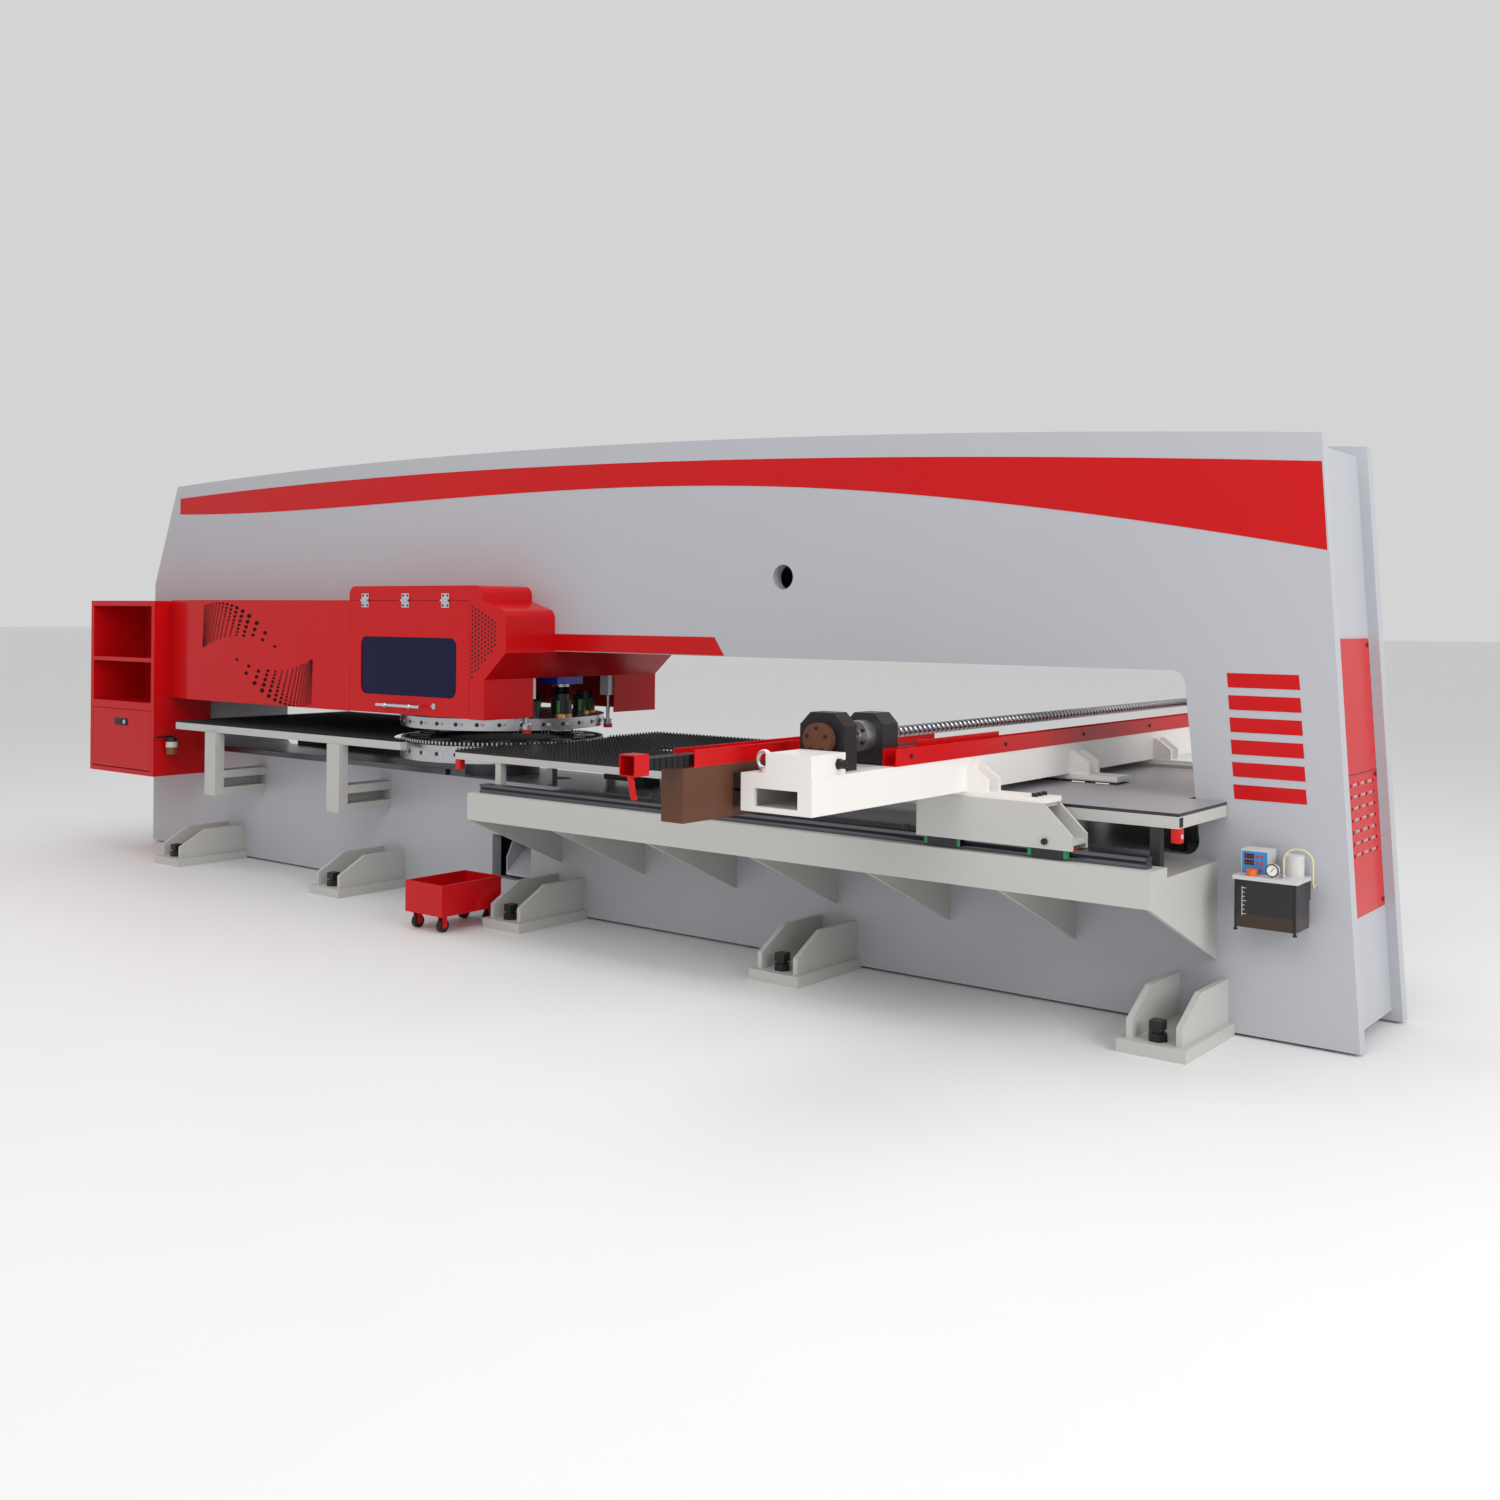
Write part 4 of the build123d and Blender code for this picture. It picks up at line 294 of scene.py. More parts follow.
class PressCovers(bpy.types.PropertyGroup):
    """Sizes of the end cover's, hood's and door's small fittings."""
    screw_head: length("Screw head", "Radius of the cover screws", 0.009)
    head_height: length("Head height", "Height of the cover screws' heads", 0.004)
    head_sink: length("Head sink", "How far a head sits in the cover", 0.001)
    screw_inset: length("Screw inset", "Distance of the screws from the cover's sides", 0.022)
    screw_shares: ratios("Screw shares", "Heights of the screws on the cover", 0.025, 0.492, 0.975)
    sheet: length("Cover sheet", "Thickness of the end cover", 0.006)
    seam_share: ratio("Seam share", "Height of the cover's joint", 0.508)
    seam_depth: length("Seam depth", "Depth of the cover's joint", 0.0012)
    seam_height: length("Seam height", "Height of the cover's joint line", 0.003)
    hinge_width: length("Hinge", "Width of a door hinge", 0.058)
    hinge_offset: length("Hinge offset", "Distance of the middle hinge from the middle", 0.0085)
    hinge_leaf: length("Hinge leaf", "Thickness of a hinge leaf", 0.0042)
    hinge_screw_share: ratio("Hinge screws", "Screw's distance from a hinge's middle, in widths", 0.3)
    hinge_screw_above: length("Upper screws", "Height of the hood's screws above the knuckle", 0.026)
    hinge_screw_below: length("Lower screws", "Depth of the door's screws below the knuckle", 0.024)
    hinge_screw_radius: length("Hinge screw", "Radius of a hinge screw", 0.0060)
    hinge_screw_height: length("Hinge screw height", "Height of a hinge screw's head", 0.0022)
    hole_radius: length("Hood hole", "Radius of the vent holes beside the door", 0.0068)
    hole_pitch: length("Hood hole pitch", "Spacing of the vent holes", 0.0215)
    hole_columns: amount("Hole columns", "Columns of vent holes", 8, least=2)
    hole_rows: amount("Hole rows", "Rows of vent holes, before the field is cut", 18)
    hole_spread_share: ratio("Hole spread", "Column spacing as a share of the row spacing", 1.08)
    hole_inset: length("Hole inset", "Distance of the first column from the door", 0.022)
    hole_drop: length("Hole drop", "Distance of the first hole below the door's top", 0.030)
    hole_fall: length("Hole fall", "How far the field's top falls to the last column", 0.055)
    hole_reach: length("Hole reach", "Depth of the field's foot below the door's top", 0.375)
    hole_rise: length("Hole rise", "How far the field's foot rises to the last column", 0.150)
    hole_slack: length("Hole slack", "How far a hole may stand above the field's top", 0.001)
    hole_sink: length("Hole sink", "How far a hole's disc sits in the hood", 0.0006)
    hole_skin: length("Hole skin", "Thickness of a hole's disc", 0.0010)
    handle_radius: length("Handle", "Radius of the door's handle", 0.009)
    handle_left: coordinate("Handle left", "Left-hand end of the door's handle", -1.003)
    handle_right: coordinate("Handle right", "Right-hand end of the door's handle", -0.672)
    handle_inset: length("Handle posts", "Distance of the handle's posts from its ends", 0.070)
    handle_height: length("Handle height", "Height of the door's handle above the floor", 1.016)
    handle_cap: length("Handle cap", "Length of the handle's end caps", 0.004)
    handle_cap_share: ratio("Cap taper", "Far radius of an end cap, in handle radii", 0.8)
    collar_width: length("Collar width", "Width of the collars on the handle", 0.016)
    collar_wall: length("Collar wall", "How far a collar stands out of the handle", 0.0045)
    collar_edge: length("Collar edge", "Rounding of the collars", 0.0012)


class PressTables(bpy.types.PropertyGroup):
    """Sizes of the table tubes' ends and stops."""
    brush_left: coordinate("Brush table left", "Left-hand end of the brush table", -0.300)
    brush_drop: length("Brush drop", "How much lower the tubes end under the brush table", 0.008)
    tube: length("Table tube", "Side of the table frames' tube", 0.040)
    tube_low: length("Tube underside", "Height of the tubes' underside above the floor", 0.785)
    tube_wall_share: ratio("Tube wall", "Wall of a tube as a share of its side", 0.1)
    # The dark ends are painted shade inside the open tubes.
    end_skin: length("End skin", "Thickness of the dark ends and of the plugs", 0.0008)
    stop_proud: length("Stop depth", "How far the red stops stand past the table tubes", 0.004)
    stop_reach: length("Stop reach", "How far the stops run under the tubes", 0.030)
    stop_inset: length("Stop inset", "Distance of the stops from the tubes' sides", 0.003)
    stop_height: length("Stop height", "Height of the stops", 0.050)
    stop_edge: length("Stop edge", "Rounding of the stops", 0.003)
    plug_inset: length("Plug inset", "Distance of the plugs from the tubes' sides", 0.013)
    plug_low: length("Plug foot", "Depth of the plugs' lower edge below the tubes", 0.034)
    plug_high: length("Plug head", "Depth of the plugs' upper edge below the tubes", 0.020)


class PressBeam(bpy.types.PropertyGroup):
    """Sizes of the beam's and carriage's fasteners."""
    bolt_head: length("Bolt head", "Radius of the larger socket screws", 0.011)
    bolt_height_share: ratio("Bolt height", "Height of a socket screw, in head radii", 1.1)
    bolt_socket_share: ratio("Bolt socket", "Radius of a screw's socket, in head radii", 0.55)
    bolt_skin_share: ratio("Socket skin", "Thickness of the socket's plate, in head radii", 0.04)
    saddle_width: length("Saddle", "Width of a saddle", 0.128)
    seat_bolt_x: length("Seat screws", "Place of the seats' screws along the press", 2.865)
    seat_pitch: length("Seat screw pitch", "Spacing of the seats' screws", 0.036)
    saddle_left: length("Left saddle screw", "Distance from the saddle's left end", 0.042)
    saddle_right: length("Right saddle screw", "Distance from the saddle's right end", 0.100)
    saddle_height: length("Saddle screws", "Height of the screws above the saddle's foot", 0.026)
    cap_width: length("Cap width", "Width of the guide blocks' caps", 0.040)
    cap_length: length("Cap length", "Length of the guide blocks' caps", 0.014)
    cap_lift: length("Cap lift", "Height of a cap above its block's foot", 0.008)
    cap_drop: length("Cap drop", "Depth of a cap below its block's top", 0.012)
    cap_edge: length("Cap edge", "Rounding of the caps", 0.002)
    tray_shares: ratios("Tray screws", "Places of the screws along the tray", 0.03, 0.24, 0.45, 0.66, 0.87)
    tray_height: length("Tray screw height", "Height of the screws above the tray's foot", 0.030)
    tray_head_share: ratio("Tray screw head", "Tray screw's radius, in cover screw radii", 0.8)
    bearing_screws: amount("Bearing screws", "Screws round the screw bearing", 5)
    bearing_phase_share: ratio("Bearing phase", "Share of a step that the first is turned", 0.25)
    bearing_circle: length("Bearing circle", "Radius of the bearing screws' circle", 0.038)
    bearing_head: length("Bearing screw", "Radius of a bearing screw", 0.0055)
    duct_screws: amount("Duct screws", "Screws on the cable duct", 4)
    duct_start: length("Duct screw start", "Distance of the first from the duct's end", 0.055)
    duct_pitch: length("Duct screw pitch", "Spacing of the duct's screws", 0.42)
    duct_height: length("Duct screw height", "Height of the screws above the duct's foot", 0.016)
    nut_screws: amount("Nut screws", "Screws round the ball nut's flange", 6)
    nut_phase_share: ratio("Nut phase", "Share of a step that the first is turned", 0.5)
    nut_circle: length("Nut circle", "Radius of the nut screws' circle", 0.041)
    nut_head: length("Nut screw", "Radius of a nut screw", 0.0060)
    nut_height: length("Nut screw height", "Height of a nut screw's head", 0.006)
    plug_along: length("Plug along", "Distance of the plug from the box's near end", 0.150)
    plug_up: length("Plug up", "Height of the plug above the box's foot", 0.034)
    plug_nut: length("Plug nut", "Radius of the plug's nut", 0.019)
    plug_nut_depth: length("Plug nut depth", "Depth of the plug's nut", 0.006)
    plug_radius: length("Plug", "Radius of the plug", 0.015)
    plug_length: length("Plug length", "Length of the plug", 0.022)
    gland_radius: length("Gland", "Radius of the plug's gland", 0.012)
    gland_length: length("Gland length", "Length of the plug's gland", 0.008)
    gland_tip: length("Gland tip", "Radius of the gland's far end", 0.007)


class PressLubricator(bpy.types.PropertyGroup):
    """Sizes of the lubricator's controller, gauge and tank."""
    control_back: length("Controller setback", "How far the controller stands behind the tank", 0.046)
    control_inset: length("Controller inset", "Distance from the tank's left side", 0.006)
    control_width: length("Controller width", "Width of the controller", 0.096)
    control_height: length("Controller height", "Height of the controller", 0.086)
    face_margin: length("Face margin", "Distance of the face from the sides and foot", 0.004)
    face_top_margin: length("Face top margin", "Distance of the face from the top", 0.006)
    face_rise: length("Face rise", "How far the face stands out", 0.0015)
    face_sink: length("Face sink", "How far the face sits in the controller", 0.0005)
    window_drops: lengths("Window drops", "Depths of the windows below the top", 0.014, 0.036)
    window_left: length("Window left", "Left side of the windows", 0.013)
    window_right: length("Window right", "Right side of the windows", 0.046)
    window_height: length("Window height", "Height of a window", 0.017)
    window_rise: length("Window rise", "Place of the windows' front", 0.0030)
    window_back: length("Window back", "Place of the windows' back", 0.0010)
    digit_count: amount("Digits", "Lit strokes in a window", 3)
    digit_left: length("Digit left", "Place of the first stroke", 0.019)
    digit_pitch: length("Digit pitch", "Spacing of the strokes", 0.010)
    digit_width: length("Digit width", "Width of a stroke", 0.0022)
    digit_foot: length("Digit foot", "Depth of a stroke's foot below the window's top", 0.013)
    digit_head: length("Digit head", "Depth of a stroke's head below the window's top", 0.004)
    digit_rise: length("Digit rise", "Place of the strokes' front", 0.0036)
    digit_back: length("Digit back", "Place of the strokes' back", 0.0026)
    key_places: lengths("Key columns", "Places of the keys' columns", 0.058, 0.074)
    key_drops: lengths("Key rows", "Depths of the keys' rows below the top", 0.022, 0.045)
    last_key: lengths("Last key", "Place and depth of the lowest key", 0.072, 0.066)
    key_radius: length("Key", "Radius of a key", 0.0048)
    key_depth: length("Key depth", "Thickness of a key", 0.0028)
    key_foot: length("Key foot", "Place of the keys' back", 0.001)
    gauge_gap: length("Gauge gap", "Distance of the gauge from the controller", 0.027)
    gauge_back: length("Gauge setback", "How far the gauge stands behind the tank", 0.006)
    gauge_up: length("Gauge height", "Height of the gauge's middle above the lid", 0.027)
    rim_radius: length("Gauge rim", "Radius of the gauge's rim", 0.0225)
    rim_depth: length("Rim depth", "Depth of the gauge's rim", 0.004)
    dial_radius: length("Dial", "Radius of the gauge's dial", 0.0185)
    dial_skin: length("Dial skin", "Thickness of the gauge's dial", 0.0006)
    hand_rise: length("Hand rise", "Distance of the hand from the gauge's back", 0.0052)
    hand_turn: turning("Hand turn", "Angle of the hand from upright", 38)
    hand_shift: length("Hand shift", "Distance of the hand's middle from the axis", 0.004)
    hand_size: lengths("Hand size", "Width, depth and length of the hand", 0.0018, 0.0010, 0.019)
    mark_count: amount("Marks", "Marks on the dial", 9)
    mark_start: turning("First mark", "Angle of the first mark from upright", -120)
    mark_step: turning("Mark step", "Angle between two marks", 30)
    mark_rise: length("Mark rise", "Distance of the marks from the gauge's back", 0.0048)
    mark_radius: length("Mark circle", "Radius of the marks' circle", 0.0155)
    mark_size: lengths("Mark size", "Width, depth and length of a mark", 0.0010, 0.0006, 0.0030)
    rod_inset: length("Rod inset", "Distance of the tie rods from the tank's sides", 0.004)
    rod_sink: length("Rod sink", "Distance of the tie rods from the tank's front", 0.001)
    rod_drop: length("Rod drop", "How far the tie rods run below the tank", 0.006)
    rod_radius: length("Rod", "Radius of a tie rod", 0.0045)
    rod_nut: length("Rod nut", "Radius of a tie rod's nut", 0.0075)
    rod_nut_height: length("Rod nut height", "Height of a tie rod's nut", 0.006)
    scale_rise: length("Scale rise", "How far the scale stands out of the tank", 0.0006)
    scale_sink: length("Scale sink", "How far the scale sits in the tank", 0.0004)
    scale_left: length("Scale left", "Place of the scale's marks", 0.028)
    scale_start: length("Scale start", "Height of the scale's first mark", 0.046)
    scale_pitch: length("Scale pitch", "Spacing of the scale's marks", 0.015)
    scale_marks: amount("Scale marks", "Marks on the scale", 7)
    scale_every: amount("Long marks", "Every how many marks one is long", 3)
    scale_long: length("Long mark", "Length of a long mark", 0.013)
    scale_short: length("Short mark", "Length of a short mark", 0.008)
    scale_line: length("Mark line", "Height of a mark's line", 0.0016)
    bar_sides: lengths("Bar sides", "Left and right side of the scale's bar", 0.026, 0.0275)
    bar_ends: lengths("Bar ends", "Lower and upper end of the scale's bar", 0.040, 0.142)
    fitting_inset: length("Fitting inset", "Distance of the hose fitting from the hose's end", 0.003)
    fitting_back: length("Fitting setback", "Distance of the hose fitting from the tank's front", 0.036)
    fitting_nut: length("Fitting nut", "Radius of the hose fitting's nut", 0.0095)
    fitting_nut_height: length("Fitting nut height", "Height of the hose fitting's nut", 0.009)
    fitting_neck: length("Fitting neck", "Radius of the hose fitting's neck", 0.0065)
    fitting_neck_height: length("Fitting neck height", "Height of the hose fitting's neck", 0.010)
    fitting_tip: length("Fitting tip", "Radius of the neck's far end", 0.0048)


class PressStage(bpy.types.PropertyGroup):
    """Camera, lights and floor."""
    camera_place: lengths("Camera place", "Where the camera stands", 5.305, -5.659, 1.492)
    camera_turn: bpy.props.FloatVectorProperty(
        name="Camera turn", description="How the camera is turned", subtype="EULER", unit="ROTATION",
        size=3, default=(math.radians(90), math.radians(-0.526), math.radians(37.768)))
    lens: bpy.props.FloatProperty(
        name="Lens", description="Focal length in millimetres", default=36.17)
    sensor: bpy.props.FloatProperty(
        name="Sensor", description="Width of the camera's sensor in millimetres", default=36.0)
    shift: bpy.props.FloatProperty(
        name="Shift", description="Upward shift of the picture", default=-0.0894)
    view_range: length("View range", "How far the camera sees", 400.0)
    key_power: wattage("Key light", "Power of the main softbox", 160.0)
    key_place: lengths("Key place", "Where the main softbox hangs", 3.5, -7.5, 6.5)
    key_target: lengths("Key target", "What the main softbox faces", 0.3, 0.0, 1.0)
    key_size: length("Key size", "Side of the main softbox", 4.5)
    fill_power: wattage("Fill light", "Power of the side softbox", 230.0)
    fill_place: lengths("Fill place", "Where the side softbox hangs", 9.0, -2.0, 4.0)
    fill_target: lengths("Fill target", "What the side softbox faces", 1.5, 0.0, 1.0)
    fill_size: length("Fill size", "Side of the side softbox", 4.0)
    top_power: wattage("Top light", "Power of the overhead softbox", 160.0)
    top_place: lengths("Top place", "Where the overhead softbox hangs", -0.5, 0.5, 7.0)
    top_target: lengths("Top target", "What the overhead softbox faces", -0.5, 0.0, 0.0)
    top_size: length("Top size", "Side of the overhead softbox", 6.0)
    world_light: ratio("Room light", "Strength of the even room light", 0.66)
    floor_size: length("Floor size", "Side of the square floor", 240.0)
    floor_drop: length("Floor drop", "Gap between the floor and the press", 0.0005)


SETTINGS = {
    "press_colours": PressColours, "press_bands": PressBands, "press_turrets": PressTurrets,
    "press_brushes": PressBrushes, "press_panels": PressPanels, "press_covers": PressCovers,
    "press_tables": PressTables, "press_beam": PressBeam, "press_lubricator": PressLubricator,
    "press_stage": PressStage,
}


def colours():
    return bpy.context.scene.press_colours


# Shader node groups shared by the finishes

def start_group(name, inputs, outputs):
    """Empty shader node group with named sockets, and its input and output nodes."""
    group = bpy.data.node_groups.new(name, "ShaderNodeTree")
    for label, kind, default in inputs:
        socket = group.interface.new_socket(label, in_out="INPUT", socket_type=kind)
        socket.default_value = default
    for label, kind in outputs:
        group.interface.new_socket(label, in_out="OUTPUT", socket_type=kind)
    return group, group.nodes.new("NodeGroupInput"), group.nodes.new("NodeGroupOutput")


def sum_node(group, operation, first, second):
    """Math node fed by sockets or plain numbers, as its output socket."""
    node = group.nodes.new("ShaderNodeMath")
    node.operation = operation
    for slot, value in zip(node.inputs, (first, second)):
        if isinstance(value, bpy.types.NodeSocket):
            group.links.new(value, slot)
        elif value is not None:
            slot.default_value = value
    return node.outputs[0]


def mix_node(tree, factor, first, second, blend="MIX"):
    """Colour mix fed by sockets or plain colours, as its output socket."""
    node = tree.nodes.new("ShaderNodeMix")
    node.data_type = "RGBA"
    node.blend_type = blend
    for slot, value in zip((node.inputs[0], node.inputs[6], node.inputs[7]), (factor, first, second)):
        if isinstance(value, bpy.types.NodeSocket):
            tree.links.new(value, slot)
        elif isinstance(value, (int, float)):
            slot.default_value = value
        else:
            slot.default_value = (*value, 1.0)
    return node.outputs[2]


def surface_group():
    """Slow drift of tone and gloss with a fine grain, for paint, plastic and castings."""
    group, given, result = start_group(
        "painted surface",
        [("Colour", "NodeSocketColor", (0.8, 0.8, 0.8, 1.0)), ("Patch scale", "NodeSocketFloat", 1.6),
         ("Grain scale", "NodeSocketFloat", 260.0), ("Tone change", "NodeSocketFloat", 0.06),
         ("Roughness", "NodeSocketFloat", 0.4), ("Gloss change", "NodeSocketFloat", 0.08)],
        [("Colour", "NodeSocketColor"), ("Roughness", "NodeSocketFloat"), ("Height", "NodeSocketFloat")])
    place = group.nodes.new("ShaderNodeTexCoord")
    patches = group.nodes.new("ShaderNodeTexNoise")
    patches.inputs["Detail"].default_value = 4.0
    grain = group.nodes.new("ShaderNodeTexNoise")
    grain.inputs["Detail"].default_value = 2.0
    for noise, scale in ((patches, "Patch scale"), (grain, "Grain scale")):
        group.links.new(place.outputs["Object"], noise.inputs["Vector"])
        group.links.new(given.outputs[scale], noise.inputs["Scale"])
    drift = sum_node(group, "SUBTRACT", patches.outputs["Fac"], 0.5)
    tone = sum_node(group, "MULTIPLY", drift, given.outputs["Tone change"])
    value = group.nodes.new("ShaderNodeHueSaturation")
    group.links.new(given.outputs["Colour"], value.inputs["Color"])
    group.links.new(sum_node(group, "ADD", tone, 1.0), value.inputs["Value"])
    gloss = sum_node(group, "MULTIPLY", drift, given.outputs["Gloss change"])
    group.links.new(value.outputs["Color"], result.inputs["Colour"])
    group.links.new(sum_node(group, "ADD", gloss, given.outputs["Roughness"]), result.inputs["Roughness"])
    group.links.new(grain.outputs["Fac"], result.inputs["Height"])
    return group


def ground_group():
    """Fine lines left by grinding, stretched along one axis, for bare metal."""
    group, given, result = start_group(
        "ground metal",
        [("Colour", "NodeSocketColor", (0.7, 0.7, 0.7, 1.0)),
         ("Stretch", "NodeSocketVector", (4.0, 300.0, 300.0)),
         ("Tone change", "NodeSocketFloat", 0.2), ("Roughness", "NodeSocketFloat", 0.3)],
        [("Colour", "NodeSocketColor"), ("Roughness", "NodeSocketFloat"), ("Height", "NodeSocketFloat")])
    place = group.nodes.new("ShaderNodeTexCoord")
    stretch = group.nodes.new("ShaderNodeVectorMath")
    stretch.operation = "MULTIPLY"
    group.links.new(place.outputs["Object"], stretch.inputs[0])
    group.links.new(given.outputs["Stretch"], stretch.inputs[1])
    lines = group.nodes.new("ShaderNodeTexNoise")
    lines.inputs["Scale"].default_value = 1.0
    lines.inputs["Detail"].default_value = 3.0
    group.links.new(stretch.outputs["Vector"], lines.inputs["Vector"])
    drift = sum_node(group, "SUBTRACT", lines.outputs["Fac"], 0.5)
    tone = sum_node(group, "MULTIPLY", drift, given.outputs["Tone change"])
    value = group.nodes.new("ShaderNodeHueSaturation")
    group.links.new(given.outputs["Colour"], value.inputs["Color"])
    group.links.new(sum_node(group, "ADD", tone, 1.0), value.inputs["Value"])
    group.links.new(value.outputs["Color"], result.inputs["Colour"])
    group.links.new(sum_node(group, "ADD", tone, given.outputs["Roughness"]), result.inputs["Roughness"])
    group.links.new(lines.outputs["Fac"], result.inputs["Height"])
    return group


def between_group():
    """Mask that is one where a value lies between two limits."""
    group, given, result = start_group(
        "between limits",
        [("Value", "NodeSocketFloat", 0.0), ("Low", "NodeSocketFloat", 0.0),
         ("High", "NodeSocketFloat", 1.0)],
        [("Mask", "NodeSocketFloat")])
    above = sum_node(group, "GREATER_THAN", given.outputs["Value"], given.outputs["Low"])
    below = sum_node(group, "LESS_THAN", given.outputs["Value"], given.outputs["High"])
    group.links.new(sum_node(group, "MULTIPLY", above, below), result.inputs["Mask"])
    return group


def thread_group():
    """Helical groove round an axis that runs along Y through the vector's zero."""
    group, given, result = start_group(
        "screw thread",
        [("Place", "NodeSocketVector", (0.0, 0.0, 0.0)), ("Lead", "NodeSocketFloat", 0.032)],
        [("Groove", "NodeSocketFloat"), ("Height", "NodeSocketFloat")])
    parts = group.nodes.new("ShaderNodeSeparateXYZ")
    group.links.new(given.outputs["Place"], parts.inputs[0])
    angle = sum_node(group, "ARCTAN2", parts.outputs["Z"], parts.outputs["X"])
    turn = sum_node(group, "DIVIDE", angle, math.tau)
    along = sum_node(group, "DIVIDE", parts.outputs["Y"], given.outputs["Lead"])
    phase = sum_node(group, "MULTIPLY", sum_node(group, "ADD", along, turn), math.tau)
    wave = sum_node(group, "SINE", phase, None)
    group.links.new(sum_node(group, "GREATER_THAN", wave, 0.2), result.inputs["Groove"])
    group.links.new(sum_node(group, "MULTIPLY", wave, -1.0), result.inputs["Height"])
    return group


def bristle_group():
    """Uneven nylon bristles, as a tuft mask and a height; the mask lets a finish paint shade between the
    tufts.
    """
    group, given, result = start_group(
        "brush bristles", [("Pitch scale", "NodeSocketFloat", 140.0)],
        [("Tuft", "NodeSocketFloat"), ("Height", "NodeSocketFloat")])
    place = group.nodes.new("ShaderNodeTexCoord")
    tufts = group.nodes.new("ShaderNodeTexVoronoi")
    tufts.inputs["Randomness"].default_value = 0.35
    group.links.new(place.outputs["Object"], tufts.inputs["Vector"])
    group.links.new(given.outputs["Pitch scale"], tufts.inputs["Scale"])
    near = sum_node(group, "SUBTRACT", 0.55, tufts.outputs["Distance"])
    group.links.new(sum_node(group, "MAXIMUM", near, 0.0), result.inputs["Tuft"])
    group.links.new(near, result.inputs["Height"])
    return group


GROUPS = {}


def make_groups():
    """Build every shared group once."""
    GROUPS.update(surface=surface_group(), ground=ground_group(), between=between_group(),
                  thread=thread_group(), bristle=bristle_group())


# Materials

def start_material(name, metallic=0.0):
    """New material, as itself, its node tree and its Principled shader."""
    material = bpy.data.materials.new(name)
    material.use_nodes = True
    shader = material.node_tree.nodes["Principled BSDF"]
    shader.inputs["Metallic"].default_value = metallic
    return material, material.node_tree, shader


def use_group(tree, group, **values):
    """Place a shared group in a material with its own values."""
    node = tree.nodes.new("ShaderNodeGroup")
    node.node_tree = GROUPS[group]
    for label, value in values.items():
        socket = node.inputs[label.replace("_", " ").capitalize()]
        if isinstance(value, bpy.types.NodeSocket):
            tree.links.new(value, socket)
        else:
            socket.default_value = (*value, 1.0) if socket.type == "RGBA" else value
    return node


def add_bump(tree, shader, height, distance, strength=1.0):
    """Feed a height to the shader's normal."""
    bump = tree.nodes.new("ShaderNodeBump")
    bump.inputs["Distance"].default_value = distance
    bump.inputs["Strength"].default_value = strength
    tree.links.new(height, bump.inputs["Height"])
    tree.links.new(bump.outputs["Normal"], shader.inputs["Normal"])


def object_part(tree, axis):
    """One coordinate of the piece's own place, in metres."""
    place = tree.nodes.new("ShaderNodeTexCoord")
    parts = tree.nodes.new("ShaderNodeSeparateXYZ")
    tree.links.new(place.outputs["Object"], parts.inputs[0])
    return parts.outputs[axis]


def painted(name, tone, roughness=0.38, tone_change=0.05, grain=0.00012, coat=0.0, shine=0.5):
    """Paint or plastic with a faint drift of tone and a fine skin."""
    material, tree, shader = start_material(name)
    surface = use_group(tree, "surface", colour=tone, roughness=roughness, tone_change=tone_change)
    tree.links.new(surface.outputs["Colour"], shader.inputs["Base Color"])
    tree.links.new(surface.outputs["Roughness"], shader.inputs["Roughness"])
    add_bump(tree, shader, surface.outputs["Height"], grain, 0.5)
    shader.inputs["Specular IOR Level"].default_value = shine
    shader.inputs["Coat Weight"].default_value = coat
    shader.inputs["Coat Roughness"].default_value = 0.12
    return material


def bare_metal(name, tone, roughness=0.3, stretch=(5.0, 260.0, 260.0), tone_change=0.16):
    """Ground or turned metal with fine lines."""
    material, tree, shader = start_material(name, metallic=1.0)
    ground = use_group(
        tree, "ground", colour=tone, roughness=roughness, stretch=stretch, tone_change=tone_change)
    tree.links.new(ground.outputs["Colour"], shader.inputs["Base Color"])
    tree.links.new(ground.outputs["Roughness"], shader.inputs["Roughness"])
    add_bump(tree, shader, ground.outputs["Height"], 0.00008, 0.4)
    return material


def banded(material, axis, low, high, tone, metallic=None):
    """Give part of a finish another colour between two places along an axis."""
    return boxed(material, [(axis, low, high)], tone, metallic)


def clear(name, tone, roughness=0.05, share=1.0):
    """Clear or tinted sheet that lets a share of the light through."""
    material, tree, shader = start_material(name)
    surface = use_group(
        tree, "surface", colour=tone, roughness=roughness, tone_change=0.1, gloss_change=0.02)
    tree.links.new(surface.outputs["Colour"], shader.inputs["Base Color"])
    tree.links.new(surface.outputs["Roughness"], shader.inputs["Roughness"])
    shader.inputs["Transmission Weight"].default_value = share
    shader.inputs["IOR"].default_value = 1.3
    return material


